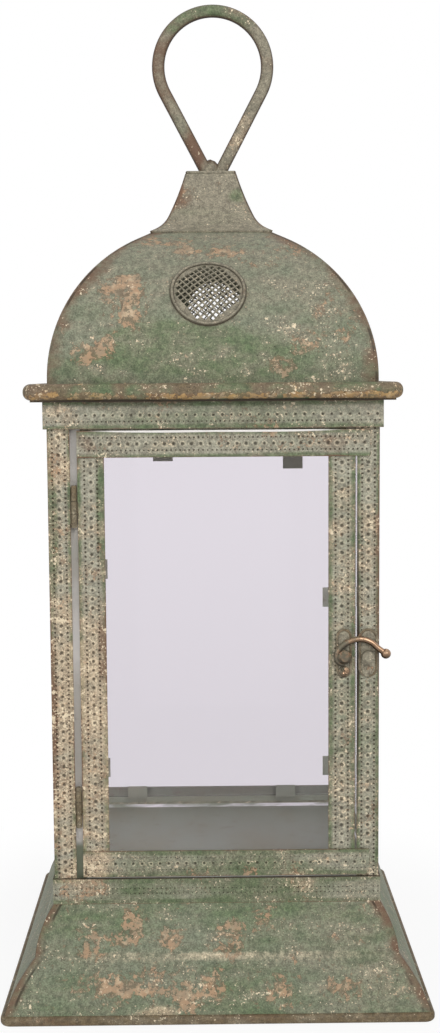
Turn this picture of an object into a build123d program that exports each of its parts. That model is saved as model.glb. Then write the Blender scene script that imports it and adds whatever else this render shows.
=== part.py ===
from build123d import *
import math
import os

# Punched tin lantern: a square glazed body on a flared base, under an ogee roof with a rod handle.
# Millimetres, +Z up, origin under the middle of the base, door towards -Y, hinges at -X.

# Width of the square body, outside to outside, and how far the other tiers stand out or in on each side
BODY_WIDTH = 152.0
BASE_FLARE = 24.0
DOME_INSET = 0.5
EAVE_OVERHANG = 10.5

# Heights of the tiers, from the ground up
BASE_HEIGHT = 49.3
LOWER_BAND_HEIGHT = 12.4
GLAZED_HEIGHT = 210.5
TOP_BAND_HEIGHT = 12.4
EAVE_HEIGHT = 7.4
SPRING_RISE = 1.8
NECK_RISE = 28.8
CAP_THICK = 1.4

# Tin sheet, glass and wire
SHEET = 0.8
GLASS = 2.0
ROD_DIAMETER = 6.2
HOOK_WIRE = 2.8

# Clearances
SEAM = 0.2
LAP_CLEARANCE = 0.1
SEAT_CLEARANCE = 0.05
DOOR_REVEAL = 0.8
LATCH_REVEAL = 0.9
HINGE_REVEAL = 3.3
STOP_CLEARANCE = 0.3
PIN_CLEARANCE = 0.06

# Flared base: two rolled steps with a crease between them, and a rolled hem
HEM_HEIGHT = 4.4
HEM_DEPTH = 7.0
HEM_CORNER = 5.0
HEM_ROLL = 1.7
HEM_INSET = 2.0
CREASE_HEIGHT = 26.7
CREASE_OUT = 8.1
ROLL_BULGE = 1.6
BASE_LEDGE = 12.0

# Frame strips
POST_WIDTH = 10.3
POST_BEND = 1.2
STRIP_WIDTH = 12.3
STOP_LAP = 5.8
TOP_BAND_SHEETS = 2
RAIL_TUCK = 7.6
LOWER_RAIL_GAP = 3.0

# Punched row along a strip: square punch set cornerwise
PUNCH_SIZE = 1.5
PUNCH_PITCH = 4.15
PUNCH_MARGIN = 3.6

# Panes and the bent tin tabs that hold them
PANE_LAP = 5.0
TAB_WIDTH = 11.0
TAB_SHEET = 0.6
TAB_FOOT = 3.2
# Tabs along each edge of a fixed pane: place from the middle or up from the sill, and reach over the glass
TABS_BOTTOM = ((-40.5, 1.2), (44.0, 1.2))
TABS_TOP = ((-45.0, 16.0), (27.5, 11.4))
TABS_LEFT = ((12.4, 4.0), (109.4, 4.0))
TABS_RIGHT = ((12.4, 6.4), (126.4, 6.4))
# The door's own tabs stop short of its opening
DOOR_TABS_ACROSS = ((-39.0, -1.0), (39.0, -1.0))
DOOR_TABS_UP = ((52.0, -1.0), (134.0, -1.0))

# Roof: rolled eave, four curved panels, neck and cap
EAVE_CORNER = 6.0
EAVE_ROLL = 3.4
EAVE_LEDGE = 16.0
SHOULDER_ANGLE = 62.0
SEAM_WIDTH = 53.4
NECK_LAP = 2.5
WAIST_WIDTH = 40.0
WAIST_RISE = 7.0
NECK_TOP_WIDTH = 23.4
CAP_OVERHANG = 0.7
CAP_BEVEL = 0.45

# Round vents, one in each roof panel
VENT_RISE = 39.8
VENT_OFFSET = -1.9
VENT_OUTER = 35.5
VENT_BORE = 29.5
SCREEN_MARGIN = 0.6
SCREEN_PITCH = 3.2
SCREEN_HOLE = 2.2

# Handle: a teardrop loop whose legs meet on the cap
LOOP_WIDTH = 60.2
LOOP_CENTRE_RISE = 52.1
LOOP_SHIFT = 1.4
LEG_SPREAD = 6.0

# Butt hinges in the gap beside the door
HINGE_LENGTH = 18.5
HINGE_BARREL = 2.6
HINGE_PIN = 1.2
HINGE_LEAF = 6.6
HINGE_LEAF_SHEET = 0.6
KNUCKLE_GAP = 0.3
PIN_HEAD = 0.8
UPPER_HINGE_DROP = 35.8
LOWER_HINGE_RISE = 33.7

# Stepped strip on the post behind the gap at the hinges
GAP_STRIP_FOOT = 2.2
GAP_STRIP_SET = 2.2
GAP_STRIP_LAP = 1.2

# Latch: hook on the door, stud on the post
LATCH_EDGE = 5.2
LATCH_RISE = 104.7
PLATE_HEIGHT = 23.0
PLATE_ABOVE = 13.0
LATCH_PLATE_WIDTH = 7.5
KEEPER_PLATE_WIDTH = 9.0
PLATE_SHEET = 0.8
PIVOT_DIAMETER = 3.0
PIVOT_HEAD = 6.4
PIVOT_HEAD_HEIGHT = 1.5
CROWN_TAPER = 0.55
EYE_DIAMETER = 7.0
HOOK_GAP = 0.3
HOOK_SPAN = 19.2
HOOK_RISE = 6.6
HOOK_TIP_RISE = 1.4
HOOK_TOP_IN = 8.5
HOOK_KNOB = 4.7
STUD_DIAMETER = 5.6
STUD_REACH = 5.6
STUD_CROWN = 1.3
STUD_ACROSS = 4.8

# Places worked out from the sizes above
BODY = BODY_WIDTH / 2
INSIDE = BODY - SHEET
BASE = BODY + BASE_FLARE
DOME = BODY - DOME_INSET
EAVE = DOME + EAVE_OVERHANG
FLOOR_Z = BASE_HEIGHT + SHEET
SILL_Z = BASE_HEIGHT + LOWER_BAND_HEIGHT
BAND_Z = SILL_Z + GLAZED_HEIGHT
EAVE_Z = BAND_Z + TOP_BAND_HEIGHT
DOME_Z = EAVE_Z + SHEET
SPRING_Z = DOME_Z + EAVE_HEIGHT + SPRING_RISE
ROOF_TURN = math.radians(SHOULDER_ANGLE)
ROOF_SLOPE = 1 / math.tan(ROOF_TURN)
SHOULDER = (DOME * math.cos(ROOF_TURN), SPRING_Z + DOME * math.sin(ROOF_TURN))
ROOF_SEAM = (SEAM_WIDTH / 2, SHOULDER[1] + (SHOULDER[0] - SEAM_WIDTH / 2) * ROOF_SLOPE)
NECK_TOP = ROOF_SEAM[1] + NECK_RISE
CAP_Z = NECK_TOP + CAP_THICK
POST_EDGE = BODY - POST_WIDTH
DOOR_LEFT = HINGE_REVEAL - POST_EDGE
DOOR_RIGHT = POST_EDGE - LATCH_REVEAL
DOOR_LOW = SILL_Z + DOOR_REVEAL
DOOR_HIGH = BAND_Z - DOOR_REVEAL
STILE_FRONT = BODY + STOP_CLEARANCE
STILE_BACK = STILE_FRONT - SHEET
RAIL_FRONT = STILE_FRONT + SHEET
WINDOW_HIGH = BAND_Z - STRIP_WIDTH
PIN_X = -POST_EDGE + HINGE_REVEAL / 2
PIN_Y = -(INSIDE - HINGE_LEAF_SHEET / 2 + HINGE_BARREL / 2)
LATCH_X = DOOR_RIGHT - LATCH_EDGE
LATCH_Z = SILL_Z + LATCH_RISE
PLATE_Z = LATCH_Z + PLATE_ABOVE - PLATE_HEIGHT / 2
HOOK_Y = -(STILE_FRONT + PLATE_SHEET + HOOK_GAP + HOOK_WIRE / 2)

SIDES = ("front", "right", "back", "left")
CORNERS = ("front_left", "front_right", "back_right", "back_left")
# Sections are drawn outwards from the lantern's axis, in the plane square to the front
SECTION = Plane(origin=(0, 0, 0), x_dir=(0, -1, 0), z_dir=(-1, 0, 0))


def turned(shape, quarter):
    return Rot(0, 0, 90 * quarter) * shape


def block(x0, x1, y0, y1, z0, z1):
    centre = ((x0 + x1) / 2, (y0 + y1) / 2, (z0 + z1) / 2)
    return Pos(*centre) * Box(x1 - x0, y1 - y0, z1 - z0)


def square_tube(width, wall, low, high):
    ring = Rectangle(width, width) - Rectangle(width - 2 * wall, width - 2 * wall)
    return Pos(0, 0, low) * extrude(ring, amount=high - low)


def sheet_section(lines, thick, side):
    path = Wire(lines)
    return make_face(path.offset_2d(thick, kind=Kind.ARC, side=side, closed=True).edges())


def mitred_panel(section, slit, low, high):
    """One of four like panels: a section drawn outwards, run along the front and mitred at the corners."""
    bar = extrude(SECTION * section, amount=2 * BASE, both=True)
    start = slit / math.sqrt(2)
    corners = [(0, -start), (2 * BASE, -2 * BASE - start), (-2 * BASE, -2 * BASE - start)]
    wedge = extrude(make_face(Polyline(*corners, close=True)), amount=high - low)
    return bar & Pos(0, 0, low) * wedge


def punched(strip, along, centre, length, face_y):
    """Cuts the centre row of square holes through a flat strip of the front, along X or Z."""
    count = int((length - 2 * PUNCH_MARGIN) / PUNCH_PITCH) + 1
    row = GridLocations(PUNCH_PITCH, 1, count, 1) if along == "x" else GridLocations(1, PUNCH_PITCH, 1, count)
    front = Plane(origin=(centre[0], face_y, centre[1]), x_dir=(1, 0, 0), z_dir=(0, -1, 0))
    punch = extrude(Rectangle(PUNCH_SIZE, PUNCH_SIZE, rotation=45), amount=2 * SHEET, both=True)
    return strip - [front * spot * punch for spot in row]


def base_panel():
    top = BODY + SHEET
    crease = (top + CREASE_OUT, CREASE_HEIGHT)
    foot = (BASE - HEM_INSET, HEM_HEIGHT)
    ledge = Line((top - BASE_LEDGE, BASE_HEIGHT), (top, BASE_HEIGHT))
    upper = SagittaArc((top, BASE_HEIGHT), crease, ROLL_BULGE)
    lower = SagittaArc(crease, foot, ROLL_BULGE)
    section = sheet_section([ledge, upper, lower], SHEET, Side.RIGHT)
    return mitred_panel(section, SEAM, HEM_HEIGHT, BASE_HEIGHT)


def base_hem():
    inner = 2 * (BASE - HEM_DEPTH)
    ring = extrude(RectangleRounded(2 * BASE, 2 * BASE, HEM_CORNER), amount=HEM_HEIGHT)
    rims = ring.edges().group_by(Axis.Z)[0] + ring.edges().group_by(Axis.Z)[-1]
    return fillet(rims, HEM_ROLL) - Box(inner, inner, 2 * HEM_HEIGHT)


def corner_post():
    """Angle bent from sheet, at the front left corner."""
    outer = Pos(-BODY + POST_WIDTH / 2, -BODY + POST_WIDTH / 2) * Rectangle(POST_WIDTH, POST_WIDTH)
    inner = Pos(-INSIDE + POST_WIDTH / 2, -INSIDE + POST_WIDTH / 2) * Rectangle(POST_WIDTH, POST_WIDTH)
    angle = outer - inner
    bend = angle.vertices().sort_by(Axis.X)[:2].sort_by(Axis.Y)[0]
    return Pos(0, 0, BASE_HEIGHT) * extrude(fillet(bend, POST_BEND), amount=EAVE_Z - BASE_HEIGHT)


def floor_plate():
    """Flat plate on the base, inside the posts and reaching the lower band between them."""
    plate = block(-INSIDE, INSIDE, -INSIDE, INSIDE, BASE_HEIGHT, FLOOR_Z)
    plate += block(-POST_EDGE, POST_EDGE, -BODY, BODY, BASE_HEIGHT, FLOOR_Z)
    return plate + block(-BODY, BODY, -POST_EDGE, POST_EDGE, BASE_HEIGHT, FLOOR_Z)


def lower_band():
    return square_tube(BODY_WIDTH + 2 * SHEET, SHEET, BASE_HEIGHT, SILL_Z)


def top_band():
    fold = TOP_BAND_SHEETS * SHEET
    return square_tube(BODY_WIDTH + 2 * fold, fold, BAND_Z, EAVE_Z)


def window_rail(low, high):
    """Strip between two posts, flush with them, on the front."""
    return block(-POST_EDGE, POST_EDGE, -BODY, -INSIDE, low, high)


def pane(left, right, low, high, front):
    return block(left - PANE_LAP, right + PANE_LAP, front, front + GLASS, low - PANE_LAP, high + PANE_LAP)


def tab(reach):
    """Bent strip that grips a pane's edge: foot on the frame, step over the edge, finger on the glass.

    Drawn with the frame's inner face at y = 0 and the pane's edge at z = 0, the pane lying above.
    """
    over = GLASS + TAB_SHEET
    width = TAB_WIDTH / 2
    step = LAP_CLEARANCE + TAB_SHEET
    foot = block(-width, width, 0, TAB_SHEET, -TAB_FOOT, -LAP_CLEARANCE)
    riser = block(-width, width, 0, over, -step, -LAP_CLEARANCE)
    finger = block(-width, width, GLASS, over, -step, PANE_LAP + reach)
    return foot + riser + finger


def tabs(left, right, low, high, front, bottom, top, left_side, right_side):
    """Tabs round an opening in the front: each edge has its list of places and reaches."""
    middle = (left + right) / 2
    placed = []
    for across, reach in bottom:
        placed.append(Pos(middle + across, front, low - PANE_LAP) * tab(reach))
    for across, reach in top:
        placed.append(Pos(middle + across, front, high + PANE_LAP) * Rot(0, 180, 0) * tab(reach))
    for up, reach in left_side:
        placed.append(Pos(left - PANE_LAP, front, low + up) * Rot(0, 90, 0) * tab(reach))
    for up, reach in right_side:
        placed.append(Pos(right + PANE_LAP, front, low + up) * Rot(0, -90, 0) * tab(reach))
    return Compound(placed)


def roof_rim():
    """Rolled eave round the foot of the dome, with the ledge that lies on the body's top edge."""
    bead = extrude(RectangleRounded(2 * EAVE, 2 * EAVE, EAVE_CORNER), amount=EAVE_HEIGHT)
    rims = bead.edges().group_by(Axis.Z)[0] + bead.edges().group_by(Axis.Z)[-1]
    bore = 2 * (DOME + LAP_CLEARANCE)
    bead = fillet(rims, EAVE_ROLL) - Box(bore, bore, 3 * EAVE_HEIGHT)
    ledge = square_tube(2 * (EAVE - EAVE_ROLL), EAVE_LEDGE, EAVE_Z, DOME_Z)
    return Pos(0, 0, DOME_Z) * bead + ledge


def vent_plane():
    """Square to the front roof panel at the middle of its vent, on its outer face."""
    lift = math.asin(VENT_RISE / DOME)
    out, up = math.cos(lift), math.sin(lift)
    middle = (VENT_OFFSET, -DOME * out, SPRING_Z + DOME * up)
    return Plane(origin=middle, x_dir=(1, 0, 0), z_dir=(0, -out, up))


def roof_panel():
    wall = Line((DOME, DOME_Z), (DOME, SPRING_Z))
    curve = CenterArc((0, SPRING_Z), DOME, 0, SHOULDER_ANGLE)
    straight = Line(SHOULDER, ROOF_SEAM)
    section = sheet_section([wall, curve, straight], SHEET, Side.LEFT)
    sheet = mitred_panel(section, SEAM, DOME_Z, NECK_TOP)
    return sheet - vent_plane() * Cylinder(VENT_BORE / 2, VENT_OUTER)


def vent_screen():
    """Perforated disc behind the hole in a panel: one face with square holes set cornerwise."""
    radius = VENT_OUTER / 2
    seat = math.sqrt((DOME - SHEET - SEAT_CLEARANCE) ** 2 - radius**2)
    clear = VENT_BORE / 2 - SCREEN_MARGIN
    count = int(2 * clear / SCREEN_PITCH)
    grid = GridLocations(SCREEN_PITCH, SCREEN_PITCH, count, count)
    corner = SCREEN_HOLE / math.sqrt(2)
    spots = [spot for spot in grid if spot.position.length + corner < clear]
    disc = Circle(radius) - [spot * Rectangle(SCREEN_HOLE, SCREEN_HOLE) for spot in spots]
    return vent_plane() * Pos(0, 0, seat - DOME) * Rot(0, 0, 45) * extrude(disc, amount=-SHEET)


def roof_neck():
    """Waisted spire that laps over the tops of the four panels."""
    seam = (ROOF_SEAM[0], ROOF_SEAM[1] + LAP_CLEARANCE)
    foot = (seam[0] + NECK_LAP, seam[1] - NECK_LAP * ROOF_SLOPE)
    waist = (WAIST_WIDTH / 2, seam[1] + WAIST_RISE)
    lap = Line(foot, seam)
    sweep_in = TangentArc(seam, waist, tangent=(-1, ROOF_SLOPE))
    rise = TangentArc(waist, (NECK_TOP_WIDTH / 2, NECK_TOP), tangent=sweep_in % 1)
    side = mitred_panel(sheet_section([lap, sweep_in, rise], SHEET, Side.RIGHT), 0, DOME_Z, NECK_TOP)
    return side + [turned(side, quarter) for quarter in (1, 2, 3)]


def neck_cap():
    width = NECK_TOP_WIDTH + 2 * CAP_OVERHANG
    plate = extrude(RectangleRounded(width, width, CAP_THICK), amount=CAP_THICK)
    rims = plate.edges().group_by(Axis.Z)[0] + plate.edges().group_by(Axis.Z)[-1]
    return Pos(0, 0, NECK_TOP) * chamfer(rims, CAP_BEVEL)


def handle_loop():
    """Teardrop of round rod: an arc with two straight legs tangent to it, standing on the cap."""
    bend = (LOOP_WIDTH - ROD_DIAMETER) / 2
    sink = ROD_DIAMETER / 2
    middle = Vector(0, 0, CAP_Z + LOOP_CENTRE_RISE)
    foot = Vector(LEG_SPREAD / 2, 0, CAP_Z)
    reach = middle - foot
    lean = math.asin(bend / reach.length) - math.atan2(foot.X, reach.Z)
    leg = math.sqrt(reach.length**2 - bend**2)
    out = Vector(math.sin(lean), 0, math.cos(lean))
    section = Plane(origin=foot - out * sink, z_dir=out) * Circle(ROD_DIAMETER / 2)
    right = extrude(section, amount=leg + sink)
    end = Plane(origin=foot + out * leg, z_dir=out) * Circle(ROD_DIAMETER / 2)
    arc = revolve(end, Axis(middle, (0, -1, 0)), 180 + 2 * math.degrees(lean))
    loop = right + arc + mirror(right, Plane.YZ) - block(-BODY, BODY, -BODY, BODY, 0, CAP_Z)
    return Pos(LOOP_SHIFT, 0, 0) * loop


def knuckle(low, high, bore):
    ring = Circle(HINGE_BARREL / 2) - Circle(bore / 2)
    return Pos(PIN_X, PIN_Y, low) * extrude(ring, amount=high - low)


def hinge(middle):
    """Butt hinge: leaf on the post with the outer knuckles, leaf on the door with the middle one, pin."""
    low, high = middle - HINGE_LENGTH / 2, middle + HINGE_LENGTH / 2
    third = HINGE_LENGTH / 3
    inner = (low + third, high - third)
    bore = HINGE_PIN + 2 * PIN_CLEARANCE
    leaf_back = HINGE_LEAF_SHEET - INSIDE
    post_leaf = block(-POST_EDGE - HINGE_LEAF, -POST_EDGE, -INSIDE, leaf_back, low, high)
    bore_cut = Pos(PIN_X, PIN_Y, middle) * Cylinder(bore / 2, 2 * HINGE_LENGTH)
    for z0, z1 in ((low, inner[0]), (inner[1], high)):
        post_leaf += knuckle(z0, z1, bore)
        post_leaf += block(-POST_EDGE, PIN_X, -INSIDE, leaf_back, z0, z1)
    post_leaf -= bore_cut
    door_back = HINGE_LEAF_SHEET - STILE_BACK
    z0, z1 = inner[0] + KNUCKLE_GAP, inner[1] - KNUCKLE_GAP
    door_leaf = block(DOOR_LEFT, DOOR_LEFT + HINGE_LEAF, -STILE_BACK, door_back, low, high)
    door_leaf += knuckle(z0, z1, bore)
    door_leaf += block(PIN_X, DOOR_LEFT, -STILE_BACK, door_back, z0, z1)
    door_leaf -= bore_cut
    pin = Pos(PIN_X, PIN_Y, middle) * Cylinder(HINGE_PIN / 2, HINGE_LENGTH)
    pin += Pos(PIN_X, PIN_Y, high + PIN_HEAD / 2) * Cylinder(HINGE_BARREL / 2, PIN_HEAD)
    return post_leaf, door_leaf, pin


def gap_strip():
    """Stepped strip on the front left post, closing the view through the gap at the hinges."""
    step = -INSIDE + GAP_STRIP_FOOT
    face = -INSIDE + GAP_STRIP_SET
    foot = block(-INSIDE, step, -INSIDE, -INSIDE + SHEET, FLOOR_Z, EAVE_Z)
    riser = block(step - SHEET, step, -INSIDE, face + SHEET, FLOOR_Z, EAVE_Z)
    cover = block(step - SHEET, DOOR_LEFT + GAP_STRIP_LAP, face, face + SHEET, FLOOR_Z, EAVE_Z)
    return foot + riser + cover


def door_frame():
    """Two stiles, and the two rails in front of them whose ends lap over the post as the door's stop."""
    stop = DOOR_RIGHT + LATCH_REVEAL + STOP_LAP
    height = DOOR_HIGH - DOOR_LOW
    width = stop - DOOR_LEFT
    pieces = {}
    for name, left in (("door_stile_hinge", DOOR_LEFT), ("door_stile_latch", DOOR_RIGHT - STRIP_WIDTH)):
        stile = block(left, left + STRIP_WIDTH, -STILE_FRONT, -STILE_BACK, DOOR_LOW, DOOR_HIGH)
        middle = (left + STRIP_WIDTH / 2, DOOR_LOW + height / 2)
        pieces[name] = punched(stile, "z", middle, height - 2 * STRIP_WIDTH, -STILE_FRONT)
    for name, low in (("door_rail_bottom", DOOR_LOW), ("door_rail_top", DOOR_HIGH - STRIP_WIDTH)):
        rail = block(DOOR_LEFT, stop, -RAIL_FRONT, -STILE_FRONT, low, low + STRIP_WIDTH)
        middle = (DOOR_LEFT + width / 2, low + STRIP_WIDTH / 2)
        pieces[name] = punched(rail, "x", middle, width, -RAIL_FRONT)
    return pieces


def fixing_plate(width, centre_x, back):
    """Oblong plate with round ends, flat on a strip of the front."""
    plate = extrude(SlotOverall(PLATE_HEIGHT, width, rotation=90), amount=PLATE_SHEET)
    return Plane(origin=(centre_x, -back, PLATE_Z), x_dir=(1, 0, 0), z_dir=(0, -1, 0)) * plate


def turned_piece(outline, top):
    """Turned along Z: a stepped side, then a bevelled crown in from its last point."""
    edge = outline[-1][0]
    crown = [(edge * CROWN_TAPER, top), (0, top)]
    profile = make_face(Polyline((0, 0), *outline, *crown, close=True))
    return revolve(Plane.XZ * profile, Axis.Z)


def latch_pivot():
    shank = PIVOT_DIAMETER / 2
    eye = HOOK_WIRE + 2 * HOOK_GAP
    head = PIVOT_HEAD / 2
    rivet = turned_piece([(shank, 0), (shank, eye), (head, eye)], eye + PIVOT_HEAD_HEIGHT)
    return Plane(origin=(LATCH_X, -(STILE_FRONT + PLATE_SHEET), LATCH_Z), z_dir=(0, -1, 0)) * rivet


def latch_hook():
    """Hook: an eye on the pivot, an arch that drops over the stud, a round knob at its tip."""
    root = (EYE_DIAMETER / 4, EYE_DIAMETER / 4)
    tip = (HOOK_SPAN, HOOK_TIP_RISE)
    arch = ThreePointArc(root, (HOOK_SPAN - HOOK_TOP_IN, HOOK_RISE), tip)
    outline = trace(arch, HOOK_WIRE) + Circle(EYE_DIAMETER / 2) + Pos(*tip) * Circle(HOOK_KNOB / 2)
    outline -= Circle(PIVOT_DIAMETER / 2 + PIN_CLEARANCE)
    hook = extrude(outline, amount=HOOK_WIRE / 2, both=True)
    return Plane(origin=(LATCH_X, HOOK_Y, LATCH_Z), x_dir=(1, 0, 0), z_dir=(0, -1, 0)) * hook


def keeper_stud():
    shank = STUD_DIAMETER / 2
    peg = turned_piece([(shank, 0), (shank, STUD_REACH - STUD_CROWN)], STUD_REACH)
    across = POST_EDGE + STUD_ACROSS
    return Plane(origin=(across, -(BODY + PLATE_SHEET), LATCH_Z), z_dir=(0, -1, 0)) * peg


def lantern():
    parts = {"base_hem": base_hem(), "lower_band": lower_band(), "top_band": top_band()}
    parts.update({"roof_rim": roof_rim(), "roof_neck": roof_neck(), "neck_cap": neck_cap()})
    parts["handle_loop"] = handle_loop()
    skirt, panel, screen = base_panel(), roof_panel(), vent_screen()
    for quarter, side in enumerate(SIDES):
        parts[f"base_panel_{side}"] = turned(skirt, quarter)
        parts[f"roof_panel_{side}"] = turned(panel, quarter)
        parts[f"vent_screen_{side}"] = turned(screen, quarter)
    post = corner_post()
    for quarter, corner in enumerate(CORNERS):
        parts[f"post_{corner}"] = turned(post, quarter)
    parts["floor_plate"] = floor_plate()
    parts["gap_strip"] = gap_strip()

    top_rail = window_rail(WINDOW_HIGH, BAND_Z + RAIL_TUCK)
    bottom_rail = window_rail(FLOOR_Z + LOWER_RAIL_GAP, SILL_Z)
    window = (-POST_EDGE, POST_EDGE, SILL_Z, WINDOW_HIGH, -INSIDE)
    window_pane = pane(*window)
    window_tabs = tabs(*window, TABS_BOTTOM, TABS_TOP, TABS_LEFT, TABS_RIGHT)
    for quarter, side in list(enumerate(SIDES))[1:]:
        parts[f"rail_top_{side}"] = turned(top_rail, quarter)
        parts[f"rail_bottom_{side}"] = turned(bottom_rail, quarter)
        parts[f"glass_{side}"] = turned(window_pane, quarter)
        parts[f"glass_tabs_{side}"] = turned(window_tabs, quarter)

    parts.update(door_frame())
    inner_edges = (DOOR_LEFT + STRIP_WIDTH, DOOR_RIGHT - STRIP_WIDTH)
    opening = (*inner_edges, DOOR_LOW + STRIP_WIDTH, DOOR_HIGH - STRIP_WIDTH, -STILE_BACK)
    parts["door_glass"] = pane(*opening)
    door_tabs = (DOOR_TABS_ACROSS, DOOR_TABS_ACROSS, DOOR_TABS_UP, DOOR_TABS_UP)
    parts["door_glass_tabs"] = tabs(*opening, *door_tabs)
    for name, middle in (("upper", BAND_Z - UPPER_HINGE_DROP), ("lower", SILL_Z + LOWER_HINGE_RISE)):
        post_leaf, door_leaf, pin = hinge(middle)
        parts[f"hinge_{name}_post_leaf"] = post_leaf
        parts[f"hinge_{name}_door_leaf"] = door_leaf
        parts[f"hinge_{name}_pin"] = pin

    parts["latch_plate"] = fixing_plate(LATCH_PLATE_WIDTH, LATCH_X, STILE_FRONT)
    parts["latch_pivot"] = latch_pivot()
    parts["latch_hook"] = latch_hook()
    keeper_x = (POST_EDGE + BODY) / 2
    parts["keeper_plate"] = fixing_plate(KEEPER_PLATE_WIDTH, keeper_x, BODY)
    parts["keeper_stud"] = keeper_stud()
    return parts


os.makedirs("parts", exist_ok=True)
for node, shape in lantern().items():
    export_step(shape, f"parts/{node}.step")
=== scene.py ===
"""Looks for a punched tin lantern: worn green paint, punched strips, perforated vents, glass and stage."""

import math

import bmesh
import bpy
from bpy.props import FloatProperty, FloatVectorProperty, IntProperty, PointerProperty
from mathutils import Matrix, Vector
from mathutils.geometry import delaunay_2d_cdt


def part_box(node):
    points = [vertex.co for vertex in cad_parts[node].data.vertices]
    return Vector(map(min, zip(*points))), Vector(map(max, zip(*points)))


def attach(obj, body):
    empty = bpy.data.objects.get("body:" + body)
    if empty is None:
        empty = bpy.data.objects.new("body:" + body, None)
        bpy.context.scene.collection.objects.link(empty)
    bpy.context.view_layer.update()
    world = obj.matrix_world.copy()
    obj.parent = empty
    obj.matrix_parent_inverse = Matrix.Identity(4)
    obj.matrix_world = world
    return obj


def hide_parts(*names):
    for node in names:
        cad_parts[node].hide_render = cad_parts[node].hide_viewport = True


bl_info = {
    "name": "Punched Tin Lantern",
    "version": (1, 0, 0),
    "blender": (4, 5, 0),
    "location": "View3D > Sidebar > Lantern",
    "description": "Dresses the lantern's solids with punched strips, worn paint, vents, glass and a stage",
    "category": "Object",
}

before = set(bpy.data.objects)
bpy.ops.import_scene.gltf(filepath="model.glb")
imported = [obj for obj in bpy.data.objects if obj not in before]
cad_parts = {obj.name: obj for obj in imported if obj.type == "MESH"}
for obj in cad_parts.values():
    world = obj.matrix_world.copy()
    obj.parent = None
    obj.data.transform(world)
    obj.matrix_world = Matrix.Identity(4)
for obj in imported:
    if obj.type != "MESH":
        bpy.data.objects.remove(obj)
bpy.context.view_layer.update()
MM = 0.001
SIDES = ("front", "right", "back", "left")
CORNERS = ("front_left", "front_right", "back_right", "back_left")

# Edges of the pieces, the radius of the roof's curve and the thickness of the tin, read from the solids
POST_LOW, POST_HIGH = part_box("post_front_left")
STILE_LOW, STILE_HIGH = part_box("door_stile_latch")
SCREEN_LOW, SCREEN_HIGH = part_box("vent_screen_front")
CAP_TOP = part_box("neck_cap")[1].z
EAVE_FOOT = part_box("roof_rim")[0].z
ROOF_BEND = -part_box("roof_panel_front")[0].y
SHEET = STILE_HIGH.y - STILE_LOW.y

# Points nearer than the first become one, and cuts nearer than the second meet
MERGE, TOUCH = 1e-6, 1e-8
# Raised lip of a punch mark, as a share of its radius, and the number of its sides
LARGE_MARK, SMALL_MARK = (1.35, 8), (1.12, 5)
# Points round a vent, its rolled rim and a screw's head
VENT_STEPS, ROLL_STEPS, SCREW_STEPS = 64, 8, 28
# A vent's height off its panel, the thickness of its sheet and the slant of its holes
VENT_STAND, VENT_SHEET, VENT_SLANT = 0.75 * MM, 0.7 * MM, math.radians(38)


def linear(red, green, blue):
    """A colour picked on a screen, as the light value that nodes take."""
    parts = [value / 255 for value in (red, green, blue)]
    return tuple(p / 12.92 if p < 0.04045 else ((p + 0.055) / 1.055) ** 2.4 for p in parts)


def paint(name, description, red, green, blue):
    default = linear(red, green, blue)
    return FloatVectorProperty(
        name=name, description=description, subtype="COLOR", size=3, min=0, max=1, default=default
    )


def length(name, description, default):
    return FloatProperty(name=name, description=description, unit="LENGTH", min=0, default=default)


class LanternColours(bpy.types.PropertyGroup):
    green: paint("Green", "Faded grey-green paint of roof and base", 126, 132, 111)
    faded: paint("Faded", "Paler grey-green of the punched strips", 171, 168, 150)
    # Deep green also paints shade along the edges of the strips.
    deep: paint("Deep green", "Paint where it is least rubbed", 96, 113, 80)
    taupe: paint("Taupe", "Primer showing through rubbed paint", 146, 139, 121)
    chip: paint("Chip", "Tan ground in the larger chips", 183, 149, 119)
    cream: paint("Cream", "Pale flecks", 236, 219, 188)
    gold: paint("Gold", "Ochre ground along the rolled eave", 188, 152, 100)
    rust: paint("Rust", "Brown along rubbed edges", 108, 78, 60)
    # This dark colour also paints shadow and shade: under the eave, beside the door, on the rod's sides, at a
    # vent's foot and under the hook.
    pit: paint("Pit", "Dirt in pits and punch marks", 50, 42, 32)
    hem: paint("Hem", "Rubbed brown of the rolled hem", 111, 96, 72)
    inside: paint("Inside", "Dull grey of the floor and the inner faces", 137, 140, 128)
    lining: paint("Lining", "Grey-green of the strips inside", 142, 147, 132)
    # Bright tin is also painted light: it lights the gap strip behind the hinges, and gives a painted
    # highlight of worn tin along the door rail's top edge.
    bright: paint("Bright tin", "Clean tin behind the hinges and along a bare edge", 230, 226, 222)
    bronze: paint("Bronze", "Copper lights on the hook and its rivets", 162, 131, 105)
    patina: paint("Patina", "Dark film over the bronze", 104, 98, 80)
    glass: paint("Glass", "Tint of a pane", 239, 236, 240)


class LanternSizes(bpy.types.PropertyGroup):
    punch_pitch: length("Punch pitch", "Spacing of the large punch marks", 4.15 * MM)
    punch_radius: length("Punch radius", "Half the width of a large punch mark", 1.3 * MM)
    dot_radius: length("Dot radius", "Half the width of a small punch mark", 0.78 * MM)
    dot_offset: length("Dot offset", "From the large marks to the rows of small ones", 2.9 * MM)
    punch_depth: length("Punch depth", "How far a large mark is driven in", 0.5 * MM)
    vent_radius: length("Vent radius", "Half the width of a vent disc", 17.75 * MM)
    vent_field: length("Vent field", "Half the width of a vent's perforated part", 16.0 * MM)
    vent_pitch: length("Vent pitch", "Spacing of a vent's holes", 2.45 * MM)
    vent_hole: length("Vent hole", "Side of a vent's square holes", 1.88 * MM)
    vent_crown: length("Vent crown", "How far a vent disc bulges", 1.6 * MM)
    hook_wire: length("Hook wire", "Thickness of the hook's wire", 2.8 * MM)
    hook_ball: length("Hook ball", "Width of the ball at the hook's tip", 4.7 * MM)
    screw_head: length("Screw head", "Width of a small screw's head", 5.4 * MM)
    seed: IntProperty(name="Seed", description="Start of the random order of punch marks", default=7)


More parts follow.
